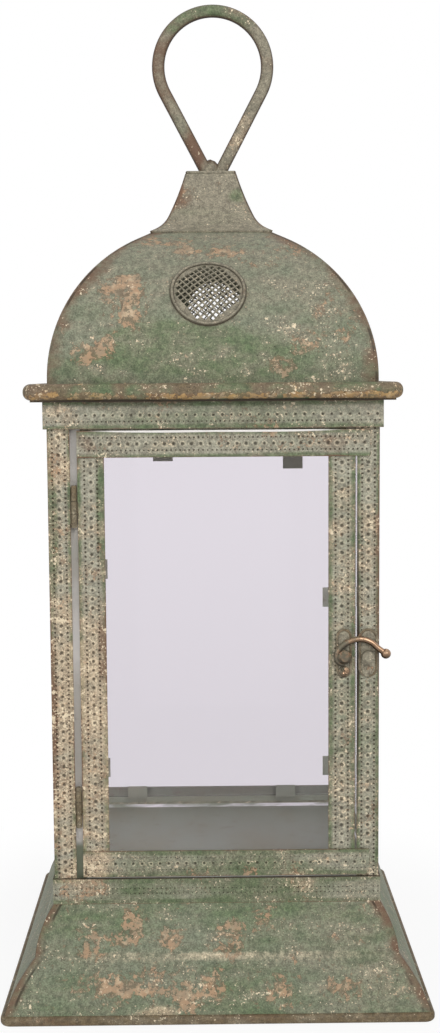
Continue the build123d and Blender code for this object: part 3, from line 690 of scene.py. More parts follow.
class LANTERN_OT_frame_strips(bpy.types.Operator):
    """Posts, door frame, window rails and bands as punched strips"""

    bl_idname = "lantern.frame_strips"
    bl_label = "Punched strips"

    def execute(self, context):
        sizes = context.scene.lantern_sizes
        dots = (-sizes.dot_offset, sizes.dot_offset)
        worn = [
            ((-70, -76, 122), 66, 0.44, (1.3, 1, 0.8)),
            ((-73, -76, 257), 16, 0.35),
            ((60, -76, 211), 60, 0.22, (1.4, 1, 0.7)),
            ((-60, -77, 200), 60, 0.2, (1.4, 1, 0.7)),
            ((60, -76, 110), 60, 0.14, (1, 1, 0.7)),
            ((38, -77, 59), 10, 0.22, (0.8, 1, 1)),
            ((-70, -77, 278), 12, 0.3),
            ((-64, -77, 60), 14, 0.34, (0.8, 1, 1)),
            ((-56, -77, 68), 11, 0.3, (0.8, 1, 1)),
        ]
        greener = [
            ((72, -76, 130), 70, 0.08, (2, 2, 1)),
            ((0, -77, 54), 90, 0.22, (1, 1, 3)),
            ((10, -77, 68), 80, 0.06, (1, 1, 4)),
            ((0, -78, 279), 90, 0.14, (1, 1, 7)),
            ((-76, -76, 225), 46, 0.7, (8, 1, 1)),
            ((-51, -77, 235), 40, 0.4, (9, 1, 1)),
        ]
        # Painted shadow: a dark line down the right post's edge, beside the door.
        shadow = [((66, -76, 165), 110, 0.9, (90, 1, 1)), ((66.4, -76, 166), 22, 0.5, (12, 1, 1))]
        # Painted highlight along the top edge of the door's top rail, shown as worn bare tin.
        bare = [((x, -77, 271.3), 40, 2.2, (1, 1, 36)) for x in (-20, 22)]
        tan = [
            ((-73, -76, 105), 50, 0.25, (1.4, 1, 0.7)),
            ((-63, -77, 58), 16, 0.36, (1, 1, 1.3)),
            ((16.5, -77, 64), 6, 0.4, (0.8, 1, 1.4)),
            ((-74, -76, 255), 10, 0.45, (1, 1, 0.8)),
            ((24, -77, 267), 44, 0.2, (1, 1, 4)),
        ]
        tones = ("faded", "deep", "rust")
        marks = {"Chips": tan, "Flecks": worn, "Deepen": greener}
        stain = [
            ((-76, -76, 140), 70, 0.8, (14, 1, 1)),
            ((-52, -77, 170), 34, 0.6, (9, 1, 1)),
            ((-64, -77, 120), 30, 0.4, (8, 1, 1)),
            ((76, -76, 200), 80, 0.6, (22, 1, 1)),
            ((56, -77, 264), 12, 0.5, (1, 1, 1.4)),
            ((-60, -77, 265), 11, 0.5, (1, 1, 1.2)),
        ]
        extra = {"Grime": shadow, "Bare Glint": bare, "Edge": stain}
        skin = painted("punched paint", tones, (0.54, 0.38, 0.58), {**marks, **extra}, strip=True)
        width = STILE_HIGH.x - STILE_LOW.x
        self.door(("door_stile_hinge", "door_stile_latch"), tile_set("stile", width, dots), skin)
        self.door(("door_rail_top",), tile_set("head", width, dots, 1.0, 0.8), skin)
        self.door(("door_rail_bottom",), tile_set("sill", width, dots, 0.75, 0.55), skin)
        self.posts(tile_set("post", POST_HIGH.x - POST_LOW.x, dots), skin)
        self.rails(tile_set("rail", self.height("rail_top_back"), dots), skin)
        seam = [((x, -77, 61.8), 70, 1.0, (1, 1, 70)) for x in (-40, 40)]
        band = painted("band paint", tones, (0.5, 0.4, 0.54), {**marks, "Grime": seam}, strip=True)
        tiles = tile_set("top", self.height("top_band"), dots[:1], 0.8, 0.75)
        self.band("top_band", tiles, band)
        tiles = tile_set("low", self.height("lower_band"), (-1.2 * MM, 1.2 * MM), 0, 0.62)
        self.band("lower_band", tiles, band)
        return {"FINISHED"}

    @staticmethod
    def height(node):
        low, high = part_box(node)
        return high.z - low.z

    @staticmethod
    def door(nodes, tiles, skin):
        """Strips of the door frame, each punched along its longer way."""
        for node in nodes:
            low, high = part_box(node)
            strip = Strip(node + "_punched")
            if high.x - low.x > high.z - low.z:
                origin, along, across = low, (1, 0, 0), (0, 0, 1)
                size = (high.x - low.x, high.z - low.z)
            else:
                origin, along, across = (low.x, low.y, high.z), (0, 0, -1), (1, 0, 0)
                size = (high.z - low.z, high.x - low.x)
            strip.punched(tiles, skin, origin, along, across, size)
            strip.back_and_sides(origin, along, across, size, high.y - low.y)
            strip.done(skin, "door", (node,))
        remove_tiles(tiles)

    @staticmethod
    def posts(tiles, skin):
        """Angle strips at the four corners, punched on both outer faces."""
        low, high = POST_LOW, POST_HIGH
        size = (high.z - low.z, high.x - low.x)
        plan = [(high.x, low.y), (high.x, low.y + SHEET), (low.x + SHEET, low.y + SHEET)]
        plan += [(low.x + SHEET, high.y), (low.x, high.y)]
        for quarter, corner in enumerate(CORNERS):
            strip = Strip(f"post_{corner}_punched")
            strip.punched(tiles, skin, (low.x, low.y, high.z), (0, 0, -1), (1, 0, 0), size)
            strip.punched(tiles, skin, (low.x, high.y, high.z), (0, 0, -1), (0, -1, 0), size)
            for first, second in zip(plan, plan[1:]):
                face = [(*first, low.z), (*second, low.z), (*second, high.z), (*first, high.z)]
                strip.plain(face, 0.5 if first[0] != high.x else 0)
            for level in (low.z, high.z):
                strip.plain([(*spot, level) for spot in [(low.x, low.y)] + plan], 0.5)
            strip.turn(quarter)
            strip.done(skin, "lantern", (f"post_{corner}",))
        remove_tiles(tiles)

    @staticmethod
    def rails(tiles, skin):
        """Strips over the three fixed panes."""
        low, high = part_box("rail_top_back")
        origin, along, across = (low.x, -high.y, low.z), (1, 0, 0), (0, 0, 1)
        size = (high.x - low.x, high.z - low.z)
        for quarter, side in list(enumerate(SIDES))[1:]:
            strip = Strip(f"rail_top_{side}_punched")
            strip.punched(tiles, skin, origin, along, across, size)
            strip.back_and_sides(origin, along, across, size, high.y - low.y)
            strip.turn(quarter)
            strip.done(skin, "lantern", (f"rail_top_{side}",))
        remove_tiles(tiles)

    @staticmethod
    def band(node, tiles, skin):
        """A band round all four sides, mitred at the corners."""
        low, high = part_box(node)
        wall = 2 * SHEET if node == "top_band" else SHEET
        strip = Strip(node + "_punched")
        size = (high.x - low.x, high.z - low.z)
        inner = [(high.x - wall, low.y + wall), (low.x + wall, low.y + wall)]
        ring = [(low.x, low.y), (high.x, low.y)] + inner
        for quarter in range(4):
            side = Strip("side")
            side.punched(tiles, skin, low, (1, 0, 0), (0, 0, 1), size)
            back = [(*spot, low.z) for spot in inner] + [(*spot, high.z) for spot in reversed(inner)]
            side.plain(back, 0.5)
            side.plain([(*spot, high.z) for spot in ring], 1)
            side.plain([(*spot, low.z) for spot in reversed(ring)], 0)
            side.turn(quarter)
            part = mesh_from(side.form, "side")
            strip.form.from_mesh(part)
            bpy.data.meshes.remove(part)
        strip.done(skin, "lantern", (node,))
        remove_tiles(tiles)


class LANTERN_OT_roof(bpy.types.Operator):
    """Roof panels, rolled eave, neck and cap"""

    bl_idname = "lantern.roof"
    bl_label = "Roof"

    def execute(self, context):
        tones = ("green", "deep", "rust")
        tan = [
            ((-42, -66, 332), 20, 0.62, (1, 1, 0.9)),
            ((-36, -62, 338), 12, 0.3),
            ((-60, -75, 306), 8, 0.5),
            ((-51, -75, 309), 10, 0.45),
            ((56, -69, 326), 22, 0.24),
            ((42, -74, 313), 11, 0.3),
            ((56, -74, 311), 14, 0.26),
            ((32, -76, 300), 7, 0.4, (0.7, 1, 1)),
            ((-12, -40, 358), 24, 0.32, (0.6, 1, 1.8)),
            ((20, -50, 351), 18, 0.32, (0.6, 1, 1.8)),
        ]
        green = [
            ((-20, -73, 314.6), 28, 0.32, (0.7, 1, 3)),
            ((-5, -75, 307), 42, 0.28, (0.7, 1, 2.6)),
            ((-5, -76, 297), 90, 0.2, (0.6, 1, 5)),
            ((0, -50, 351), 40, -0.15, (0.5, 1, 1.5)),
        ]
        flecky = [((50, -74, 312), 34, 0.17, (0.7, 1, 1)), ((0, -76, 303), 70, 0.06, (0.6, 1, 2))]
        rubbed = [((0, -50, 352), 60, 0.14, (0.6, 1, 1.2)), ((48, -68, 325), 34, 0.1)]
        marks = {"Chips": tan, "Flecks": flecky, "Deepen": green, "Wear": rubbed}
        panel = painted("roof paint", tones, (0.5, 0.36, 0.41), marks, corner=(13, 1.0), edge=0.05)
        for side in SIDES:
            smoothed(f"roof_panel_{side}", panel)
        marks = {"Chips": [((-10, -15, 384), 9, 0.42, (1, 1, 0.8))]}
        marks["Edge"] = [((-14, -15, 380), 10, 0.5, (1, 1, 0.8))]
        marks["Deepen"] = [((13, -14, 383), 7, 0.4)]
        spire = painted("neck paint", ("taupe", "deep", "rust"), (0.5, 0.4, 0.46), marks, corner=(3, 0.0))
        smoothed("roof_neck", spire)
        smoothed("neck_cap", spire)
        low = EAVE_FOOT / MM
        dashes = [((x, -86, low + 2.4), 20, 0.56, (0.6, 1, 7)) for x in (-62, -14, 18, 52, 74)]
        levels = (0.5, 0.4, 0.69)
        mossy = [((x, -86, 289), 11, 0.55, (0.8, 1, 1)) for x in (-54, -29, 6, 36, 64)]
        brown = ("hem", "deep", "rust")
        # Painted shadow: a dark line along the foot of the rolled eave.
        shadow = [((x, -83, low + 0.2), 70, depth, (1, 1, 52)) for x, depth in ((-45, 1.0), (40, 1.2))]
        marks = {"Chips": dashes, "Grime": shadow, "Deepen": mossy}
        rim = painted("eave paint", brown, levels, marks, bump=0.5, ground="gold", edge=0.46)
        smoothed("roof_rim", rim)
        return {"FINISHED"}


class VentSeat:
    """Where a vent sits on the front panel: its middle, and the ways up and out from there."""

    def __init__(self):
        wide, deep, tall = SCREEN_HIGH - SCREEN_LOW
        lift = math.atan2(wide * deep - SHEET * tall, wide * tall - SHEET * deep)
        self.out = Vector((0, -math.cos(lift), math.sin(lift)))
        self.up = Vector((0, math.sin(lift), math.cos(lift)))
        seat = math.sqrt((ROOF_BEND - SHEET) ** 2 - (wide / 2) ** 2) - SHEET / 2
        self.hub = (SCREEN_LOW + SCREEN_HIGH) / 2 + self.out * (ROOF_BEND - seat)

    def place(self, spot, rise):
        """A point of the flat disc, bent with the panel and raised off it."""
        follow = math.sqrt(ROOF_BEND**2 - spot.y**2) - ROOF_BEND
        flat = self.hub + Vector((spot.x, 0, 0)) + self.up * spot.y
        return flat + self.out * (follow + VENT_STAND + rise)


class LANTERN_OT_vents(bpy.types.Operator):
    """Perforated discs over the holes in the roof panels"""

    bl_idname = "lantern.vents"
    bl_label = "Vents"

    def execute(self, context):
        sizes = context.scene.lantern_sizes
        tones, levels = ("taupe", "green", "rust"), (0.5, 0.42, 0.5)
        skin = painted("vent paint", tones, levels, grooved=True, bump=0.4, edge=0.12)
        disc = self.disc(sizes)
        for quarter, side in enumerate(SIDES):
            mesh = disc.copy()
            mesh.transform(quarter_turn(quarter))
            finished(f"vent_disc_{side}", mesh, skin, "lantern", (f"vent_screen_{side}",))
        bpy.data.meshes.remove(disc)
        return {"FINISHED"}

    @staticmethod
    def disc(sizes):
        """Disc for the front panel: a perforated field, crowned, inside a plain rim with a rolled edge."""
        radius, field, hole = sizes.vent_radius, sizes.vent_field, sizes.vent_hole / 2
        points, edges, holes = [], [], []
        for ring in (radius, field):
            first = len(points)
            for step in range(VENT_STEPS):
                angle = step * math.tau / VENT_STEPS
                points.append(Vector((ring * math.cos(angle), ring * math.sin(angle))))
                edges.append((first + step, first + (step + 1) % VENT_STEPS))
        reach = int(field / sizes.vent_pitch) + 1
        turn = Matrix.Rotation(VENT_SLANT, 2)
        for row in range(-reach, reach + 1):
            for column in range(-reach, reach + 1):
                middle = Vector((column * sizes.vent_pitch, row * sizes.vent_pitch))
                if middle.length + hole * 1.5 > field:
                    continue
                first = len(points)
                holes.append(middle)
                for x, y in ((-1, -1), (1, -1), (1, 1), (-1, 1)):
                    points.append(turn @ (middle + hole * Vector((x, y))))
                edges += [(first + step, first + (step + 1) % 4) for step in range(4)]
        flat, _, faces, _, _, _ = delaunay_2d_cdt(points, edges, [], 0, TOUCH)
        back = turn.transposed()
        kept = []
        for face in faces:
            middle = back @ (sum((flat[index] for index in face), Vector((0, 0))) / len(face))
            if not any(max(abs(middle.x - h.x), abs(middle.y - h.y)) < hole for h in holes):
                kept.append(face)
        seat = VentSeat()
        places = []
        for spot in flat:
            crown = sizes.vent_crown * max(0.0, 1 - (spot.length / field) ** 2)
            places.append(seat.place(spot, crown))
        mesh = bpy.data.meshes.new("vent_disc")
        mesh.from_pydata(places, [], kept)
        form = bmesh.new()
        form.from_mesh(mesh)
        bpy.data.meshes.remove(mesh)
        bmesh.ops.recalc_face_normals(form, faces=form.faces[:])
        if sum(face.normal.dot(seat.out) for face in form.faces) < 0:
            bmesh.ops.reverse_faces(form, faces=form.faces[:])
        bmesh.ops.solidify(form, geom=form.faces[:], thickness=VENT_SHEET)
        LANTERN_OT_vents.roll(form, sizes, seat)
        return mesh_from(form, "vent_disc")

    @staticmethod
    def roll(form, sizes, seat):
        """The rolled rim round the disc, with painted shade at its inner and outer foot."""
        bead = 1.0 * MM
        # Painted shade round the rim's outer and inner foot, carried by the pit attribute.
        dirt_and_shade = (0.5, 0.3, -0.1, 0.2, 0.5, 0.5, 0.5, 0.5)
        pit = form.verts.layers.float.new("pit")
        rings = []
        for step in range(VENT_STEPS):
            angle = step * math.tau / VENT_STEPS
            ray = Vector((math.cos(angle), math.sin(angle)))
            ring = []
            for turn in range(ROLL_STEPS):
                tilt = turn * math.tau / ROLL_STEPS
                spot = ray * (sizes.vent_radius - bead + bead * math.cos(tilt))
                ring.append(form.verts.new(seat.place(spot, bead * math.sin(tilt))))
                ring[-1][pit] = dirt_and_shade[turn]
            rings.append(ring)
        for first, second in zip(rings, rings[1:] + rings[:1]):
            for turn in range(ROLL_STEPS):
                other = (turn + 1) % ROLL_STEPS
                face = form.faces.new((first[turn], second[turn], second[other], first[other]))
                face.smooth = True


class LANTERN_OT_base(bpy.types.Operator):
    """Flared base, rolled hem and floor"""

    bl_idname = "lantern.base"
    bl_label = "Base"

    def execute(self, context):
        tan = [
            ((-40, -80, 39), 11, 0.6, (1.2, 1, 0.8)),
            ((-58, -83, 33), 11, 0.5),
            ((-48, -82, 34), 6, 0.5),
            ((-22, -82, 35), 8, 0.5),
            ((6, -82, 33), 12, 0.55),
            ((54, -82, 35), 5, 0.6),
            ((18, -79, 42), 14, 0.25, (0.7, 1, 1.4)),
            ((-46, -92, 13), 12, 0.42, (0.8, 1, 1.2)),
            ((-26, -91, 15.6), 17, 0.42, (0.65, 1, 1.6)),
            ((-13, -94, 9), 10, 0.55),
            ((-1, -91, 15), 11, 0.52),
            ((28, -92, 12), 11, 0.5),
            ((59, -92, 14), 11, 0.45),
            ((-62, -91, 16), 9, 0.4),
            ((-52, -90, 18), 7, 0.5),
        ]
        flecky = [
            ((-60, -95, 8), 60, 0.08, (0.5, 1, 3)),
            ((60, -95, 9), 60, 0.08, (0.5, 1, 3)),
            ((80, -90, 16), 16, 0.16),
            ((-27, -96, 5), 10, 0.4, (0.7, 1, 2)),
        ]
        # The second entry lightens the crease: painted highlight.
        green = [((0, -88, 22), 120, 0.18, (0.6, 1, 1)), ((0, -84, 28), 100, -0.1, (0.4, 1, 6))]
        tones = ("green", "deep", "rust")
        # A pale line along the crease: painted highlight.
        rub_and_highlight = [((x, -85, 27), 70, 0.5, (1, 1, 18)) for x in (-34, 34)]
        rubbed = [((66, -86, 34), 46, 0.2), ((84, -92, 14), 24, 0.16)]
        marks = {"Chips": tan, "Flecks": flecky, "Deepen": green, "Rub": rub_and_highlight, "Wear": rubbed}
        skirt = painted("base paint", tones, (0.4, 0.42, 0.5), marks, (9, 3.6), edge=0.12, chip_scale=160)
        for side in SIDES:
            smoothed(f"base_panel_{side}", skirt, crease=15)
        hem = painted("hem paint", ("hem", "rust", "rust"), (0.36, 0.42, 0.52), bump=0.4)
        smoothed("base_hem", hem)
        coat_nodes(dull_tin("floor tin", "inside", 0.4), "floor_plate")
        coat_nodes(dull_tin("lining tin", "lining", 1.0), *(f"rail_bottom_{side}" for side in SIDES[1:]))
        # Pale tin on the gap strip above its green foot: painted light, standing in for light reaching into
        # the hinge gap.
        coat_nodes(dull_tin("bright tin", "bright", 1.0, STILE_LOW.z + 13 * MM), "gap_strip")
        self.solder()
        return {"FINISHED"}

    @staticmethod
    def solder():
        """Bright fillet of solder round the edge of the floor, under the rails."""
        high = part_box("floor_plate")[1]
        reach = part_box("rail_bottom_back")[0].z - high.z
        metal, graph, place, shader = blank_material("solder")
        smear = graph.ramp(graph.noise(graph.stretched(place, (30, 30, 200)), 1, 5), 0.4, 0.6)
        colours = bpy.context.scene.lantern_colours
        colour = graph.mix(smear, colours.glass, colours.lining)
        graph.fill(shader, {"Base Color": colour, "Roughness": 0.4})
        form = bmesh.new()
        gap, lap = 0.02 * MM, 0.3 * MM
        wall, edge = high.y - gap, POST_HIGH.x + lap
        section = [(wall, high.z), (wall, high.z + 0.5 * reach), (wall - 0.4 * reach, high.z)]
        for quarter in (1, 2, 3):
            turn = quarter_turn(quarter + 2)
            ends = []
            for x in (edge, -edge):
                ends.append([form.verts.new(turn @ Vector((x, y, z))) for y, z in section])
            for first, second in ((0, 1), (1, 2), (2, 0)):
                form.faces.new((ends[0][first], ends[0][second], ends[1][second], ends[1][first]))
            form.faces.new(ends[0])
            form.faces.new(reversed(ends[1]))
        bmesh.ops.recalc_face_normals(form, faces=form.faces[:])
        formed("floor_solder", form, metal, "lantern")


class LANTERN_OT_handle(bpy.types.Operator):
    """Rod loop and the weld that holds its legs on the cap"""

    bl_idname = "lantern.handle"
    bl_label = "Handle"

    def execute(self, context):
        marks = {"Deepen": [((0, 0, 478), 32, 0.7, (1, 1, 1.3))]}
        # The last entry here and the entry below darken the rod where it faces in and out of its loop, away
        # from its front and back: painted shade on its sides.
        marks["Edge"] = [
            ((-28, 0, 446), 26, 0.32, (1, 1, 0.8)),
            ((-8, 0, 407), 13, 0.6, (1.6, 1, 0.7)),
            ((0, 0, 440), 2.6, 0.5, (0, 1, 0)),
        ]
        # Painted shade on the rod's sides.
        marks["Grime"] = [((0, 0, 440), 2.4, 0.9, (0, 1, 0))]
        marks["Flecks"] = [((15, 0, 417), 15, 0.36, (1, 1, 0.8)), ((26, 0, 466), 12, 0.2)]
        rod = painted("rod paint", ("taupe", "deep", "rust"), (0.5, 0.34, 0.46), marks, bump=0.4, edge=0.3)
        smoothed("handle_loop", rod)
        half, sunk = (4.3 * MM, 2.7 * MM, 4.6 * MM), 2.4 * MM
        form = bmesh.new()
        bmesh.ops.create_icosphere(form, subdivisions=3, radius=1.0)
        for vert in form.verts:
            x, y, z = vert.co
            lump = 1 + 0.07 * math.sin(9 * x + 2) * math.sin(7 * z) + 0.05 * math.sin(11 * y)
            vert.co = Vector((x * half[0], y * half[1], z * half[2])) * lump
            vert.co.z = max(vert.co.z + CAP_TOP + sunk, CAP_TOP)
        shade_smooth(form)
        formed("handle_weld", form, rod, "lantern")
        return {"FINISHED"}


class LANTERN_OT_latch(bpy.types.Operator):
    """Hook of bent wire, plates, rivets and screws"""

    bl_idname = "lantern.latch"
    bl_label = "Latch"

    def execute(self, context):
        sizes = context.scene.lantern_sizes
        metal = bronze("latch bronze")
        plate = painted("plate paint", ("taupe", "green", "rust"), (0.5, 0.45, 0.52), bump=0.5)
        pivot, stud = middle_of("latch_pivot"), middle_of("keeper_stud")
        pivot.y = middle_of("latch_hook").y
        self.hook(sizes, metal, pivot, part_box("latch_hook")[1])
        smoothed("latch_pivot", metal, "door")
        smoothed("keeper_stud", plate)
        # The beads are painted dark brown: painted shade outlining the plates, on a real raised bead.
        dark = painted("bead paint", ("hem", "rust", "rust"), (0.5, 0.4, 0.5), bump=0.4)
        for node, body in (("latch_plate", "door"), ("keeper_plate", "lantern")):
            smoothed(node, plate, body)
            self.beading(node, dark, body)
        drop = Vector((0, 0, -7.2 * MM))
        door_face, post_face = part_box("latch_plate")[0].y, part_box("keeper_plate")[0].y
        self.screw("latch_screw", sizes, metal, Vector((pivot.x, door_face, pivot.z)) + drop, "door")
        self.screw("keeper_screw", sizes, plate, Vector((stud.x, post_face, stud.z)) + drop, "lantern")
        return {"FINISHED"}

    @staticmethod
    def hook(sizes, metal, pivot, high):
        """Wire from its eye round the pivot, over the stud, to a ball."""
        reach = high.x - pivot.x - sizes.hook_ball / 2
        curve = LANTERN_OT_latch.wire("hook_wire", sizes.hook_wire / 2, 5)
        curve.resolution_u = 16
        curve.use_fill_caps = True
        line = curve.splines.new("BEZIER")
        stops = [(0.3, -3.4), (-2.6, -2.3), (-3.4, 0.4), (-2.0, 4.0)]
        stops += [(2.4, 7.2), (7.6, 8.2), (12.2, 6.8), (15.6, 4.0)]
        stops = [Vector((x * MM, 0, z * MM)) for x, z in stops] + [Vector((reach, 0, 1.4 * MM))]
        line.bezier_points.add(len(stops) - 1)
        for point, stop in zip(line.bezier_points, stops):
            point.co = pivot + stop
            point.handle_left_type = point.handle_right_type = "AUTO"
        line.bezier_points[0].radius = 0.9
        eye_radius = 2.45 * MM
        eye = curve.splines.new("BEZIER")
        eye.use_cyclic_u = True
        eye.bezier_points.add(3)
        for step, point in enumerate(eye.bezier_points):
            angle = step * math.pi / 2
            point.co = pivot + eye_radius * Vector((math.cos(angle), 0, math.sin(angle)))
            point.handle_left_type = point.handle_right_type = "AUTO"
            point.radius = 0.62
        form = LANTERN_OT_latch.swept(curve)
        ball = bmesh.ops.create_uvsphere(form, u_segments=24, v_segments=14, radius=sizes.hook_ball / 2)
        bmesh.ops.translate(form, verts=ball["verts"], vec=pivot + stops[-1])
        shade_smooth(form)
        formed("latch_hook_wire", form, metal, "latch_hook", ("latch_hook",))

    @staticmethod
    def wire(name, radius, roundness):
        """A curve that is given thickness, ready for its lines."""
        curve = bpy.data.curves.new(name, "CURVE")
        curve.dimensions = "3D"
        curve.bevel_depth = radius
        curve.bevel_resolution = roundness
        return curve

    @staticmethod
    def swept(curve):
        """The mesh of a bevelled curve, for editing."""
        carrier = bpy.data.objects.new(curve.name, curve)
        bpy.context.scene.collection.objects.link(carrier)
        depsgraph = bpy.context.evaluated_depsgraph_get()
        mesh = bpy.data.meshes.new_from_object(carrier.evaluated_get(depsgraph), depsgraph=depsgraph)
        bpy.data.objects.remove(carrier)
        form = bmesh.new()
        form.from_mesh(mesh)
        bpy.data.meshes.remove(mesh)
        shade_smooth(form)
        return form

    @staticmethod
    def beading(node, metal, body):
        """Raised bead round the face of a round-ended plate."""
        low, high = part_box(node)
        middle = (low + high) / 2
        inset, bead, steps = 0.7 * MM, 0.55 * MM, 14
        bend = (high.x - low.x) / 2 - inset
        rise = (high.z - low.z - high.x + low.x) / 2
        curve = LANTERN_OT_latch.wire(node + "_bead", bead, 2)
        line = curve.splines.new("POLY")
        line.use_cyclic_u = True
        line.points.add(2 * steps - 1)
        for step, point in enumerate(line.points):
            angle = (step % steps) * math.pi / (steps - 1) + (step // steps) * math.pi
            up = rise if step < steps else -rise
            point.co = (middle.x + bend * math.cos(angle), low.y, middle.z + up + bend * math.sin(angle), 1)
        formed(node + "_bead", LANTERN_OT_latch.swept(curve), metal, body)

    @staticmethod
    def screw(name, sizes, metal, seat, body):
        """Round head with a sawn slot, on a face towards -Y."""
        head, sawn = sizes.screw_head / 2, 0.6
        profile = [(0.35, 1.1), (0.7, 0.85), (0.95, 0.4), (1.0, 0.0), (1.0, -0.3)]
        form = bmesh.new()
        rings = []
        for share, rise in profile:
            ring = []
            for step in range(SCREW_STEPS):
                angle = step * math.tau / SCREW_STEPS
                x, z = head * share * math.cos(angle), head * share * math.sin(angle)
                slot = abs(x * 0.8 + z * 0.6) < head * 0.16 and share < 0.9
                height = (rise - sawn if slot else rise) * MM * 0.9
                ring.append(form.verts.new(seat + Vector((x, -height, z))))
            rings.append(ring)
        crown = form.verts.new(seat + Vector((0, -0.5 * MM, 0)))
        for step in range(SCREW_STEPS):
            other = (step + 1) % SCREW_STEPS
            form.faces.new((crown, rings[0][other], rings[0][step]))
            for inner, outer in zip(rings, rings[1:]):
                form.faces.new((inner[step], inner[other], outer[other], outer[step]))
        bmesh.ops.recalc_face_normals(form, faces=form.faces[:])
        formed(name, form, metal, body)


class LANTERN_OT_hinges(bpy.types.Operator):
    """Hinge leaves and pins"""

    bl_idname = "lantern.hinges"
    bl_label = "Hinges"

    def execute(self, context):
        iron = painted("hinge paint", ("hem", "green", "rust"), (0.5, 0.42, 0.56), bump=0.4, ground="gold")
        for level in ("upper", "lower"):
            smoothed(f"hinge_{level}_post_leaf", iron)
            smoothed(f"hinge_{level}_pin", iron)
            smoothed(f"hinge_{level}_door_leaf", iron, "door")
        return {"FINISHED"}


class LANTERN_OT_glazing(bpy.types.Operator):
    """Panes and the tabs that hold them"""

    bl_idname = "lantern.glazing"
    bl_label = "Glazing"

    def execute(self, context):
        clear = glass("pane glass")
        for side in SIDES:
            node, body = (f"glass_{side}", "lantern") if side != "front" else ("door_glass", "door")
            pane = smoothed(node, clear, body, shrink=0.1 * MM)
            pane.visible_shadow = False
        tabs = [f"glass_tabs_{side}" for side in SIDES[1:]]
        coat_nodes(dull_tin("tab tin", "inside", 1.0), "door_glass_tabs", *tabs)
        return {"FINISHED"}


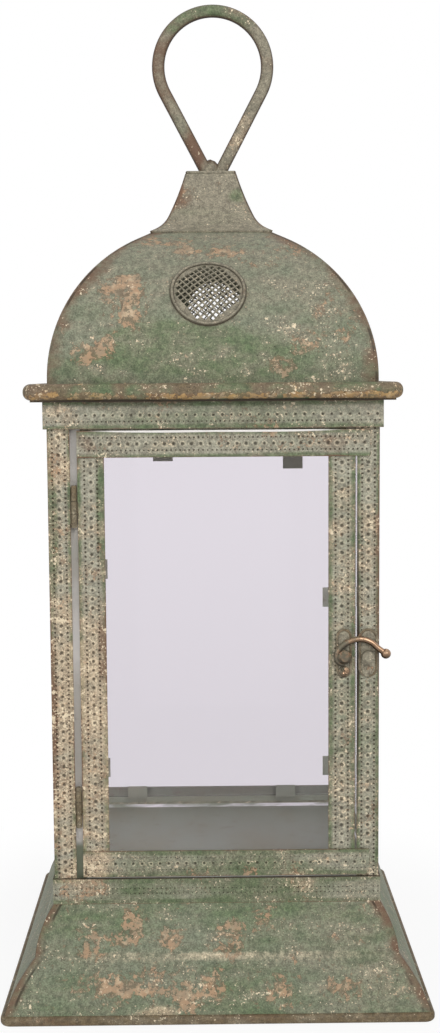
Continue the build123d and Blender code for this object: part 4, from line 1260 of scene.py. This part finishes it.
class LANTERN_OT_stage(bpy.types.Operator):
    """Floor, lights, white surround and camera"""

    bl_idname = "lantern.stage"
    bl_label = "Stage"

    def execute(self, context):
        scene = context.scene
        scene.view_settings.view_transform = "Standard"
        self.floor()
        self.surround(scene)
        self.lamp("key", (0.6, -1.4, 1.05), 1.0, 13.5)
        self.lamp("fill", (-0.9, -1.3, 0.6), 1.2, 7.5)
        self.lamp("crown", (0.1, 0.2, 1.5), 1.2, 3)
        self.camera(scene)
        return {"FINISHED"}

    @staticmethod
    def floor():
        """Pale floor that takes the shadow and turns white away from the lantern."""
        form = bmesh.new()
        bmesh.ops.create_grid(form, x_segments=1, y_segments=1, size=8)
        mesh = mesh_from(form, "floor")
        material, graph, place, shader = blank_material("pale floor")
        graph.fill(shader, {"Base Color": (0.9, 0.9, 0.9), "Roughness": 0.9})
        light = graph.add("ShaderNodeEmission", {"Color": (1, 1, 1), "Strength": 1.0})
        seen = LANTERN_OT_stage.seen(graph)
        away = graph.add("ShaderNodeVectorMath", {0: place}, operation="LENGTH").outputs["Value"]
        share = graph.math("MULTIPLY", seen, graph.ramp(away, 0.12, 0.24, 0.9, 1.0))
        blend = graph.add("ShaderNodeMixShader", {0: share, 1: shader.outputs[0], 2: light.outputs[0]})
        end = [node for node in material.node_tree.nodes if node.type == "OUTPUT_MATERIAL"][0]
        graph.set(end.inputs["Surface"], blend.outputs[0])
        mesh.materials.append(material)
        floor = bpy.data.objects.new("floor", mesh)
        bpy.context.scene.collection.objects.link(floor)

    @staticmethod
    def seen(graph):
        """1 for what the camera sees directly, in a reflection or through glass."""
        path = graph.add("ShaderNodeLightPath").outputs
        through = graph.math("MAXIMUM", path["Is Glossy Ray"], path["Is Transmission Ray"])
        return graph.math("MAXIMUM", path["Is Camera Ray"], through)

    @staticmethod
    def surround(scene):
        """White where it is seen, and a soft light on the lantern."""
        world = bpy.data.worlds.new("white surround")
        world.use_nodes = True
        world.node_tree.nodes.clear()
        graph = Graph(world.node_tree)
        soft = graph.add("ShaderNodeBackground", {"Color": (1, 1, 1), "Strength": 0.34})
        white = graph.add("ShaderNodeBackground", {"Color": (1, 1, 1), "Strength": 1.0})
        seen = LANTERN_OT_stage.seen(graph)
        blend = graph.add("ShaderNodeMixShader", {0: seen, 1: soft.outputs[0], 2: white.outputs[0]})
        graph.add("ShaderNodeOutputWorld", {"Surface": blend.outputs[0]})
        scene.world = world

    @staticmethod
    def lamp(name, place, size, power):
        """A square lamp that faces the lantern's waist."""
        light = bpy.data.lights.new(name, "AREA")
        light.size = size
        light.energy = power
        lamp = bpy.data.objects.new(name, light)
        lamp.location = place
        waist = Vector((0, 0, 0.22))
        lamp.rotation_euler = (waist - Vector(place)).to_track_quat("-Z", "Y").to_euler()
        bpy.context.scene.collection.objects.link(lamp)

    @staticmethod
    def camera(scene):
        """Camera in front of the door, a little above the middle and looking down."""
        lens = bpy.data.cameras.new("camera")
        lens.lens = 50.95
        lens.sensor_width = 36
        lens.sensor_fit = "AUTO"
        camera = bpy.data.objects.new("camera", lens)
        turn, down, tilt = (math.radians(angle) for angle in (-0.544, 5.563, -0.407))
        aim = Matrix.Rotation(turn, 4, "Z") @ Matrix.Rotation(math.pi / 2 - down, 4, "X")
        place = Matrix.Translation((-3.6 * MM, -743.2 * MM, 296.7 * MM))
        camera.matrix_world = place @ aim @ Matrix.Rotation(tilt, 4, "Z")
        scene.collection.objects.link(camera)
        scene.camera = camera


class LANTERN_PT_panel(bpy.types.Panel):
    """Lists the lantern's pieces and their settings"""

    bl_idname = "LANTERN_PT_panel"
    bl_label = "Punched Tin Lantern"
    bl_space_type = "VIEW_3D"
    bl_region_type = "UI"
    bl_category = "Lantern"

    def draw(self, context):
        layout = self.layout
        for settings in (context.scene.lantern_sizes, context.scene.lantern_colours):
            box = layout.box()
            for label in settings.__annotations__:
                box.prop(settings, label)
        for operator in OPERATORS:
            layout.operator(operator.bl_idname)


OPERATORS = (
    LANTERN_OT_stage,
    LANTERN_OT_base,
    LANTERN_OT_frame_strips,
    LANTERN_OT_glazing,
    LANTERN_OT_hinges,
    LANTERN_OT_latch,
    LANTERN_OT_roof,
    LANTERN_OT_vents,
    LANTERN_OT_handle,
)
CLASSES = (LanternColours, LanternSizes, *OPERATORS, LANTERN_PT_panel)


def register():
    for item in CLASSES:
        bpy.utils.register_class(item)
    bpy.types.Scene.lantern_colours = PointerProperty(type=LanternColours)
    bpy.types.Scene.lantern_sizes = PointerProperty(type=LanternSizes)


def unregister():
    del bpy.types.Scene.lantern_sizes
    del bpy.types.Scene.lantern_colours
    for item in reversed(CLASSES):
        bpy.utils.unregister_class(item)


def main():
    register()
    for operator in OPERATORS:
        family, name = operator.bl_idname.split(".")
        getattr(getattr(bpy.ops, family), name)()


if __name__ == "__main__":
    main()
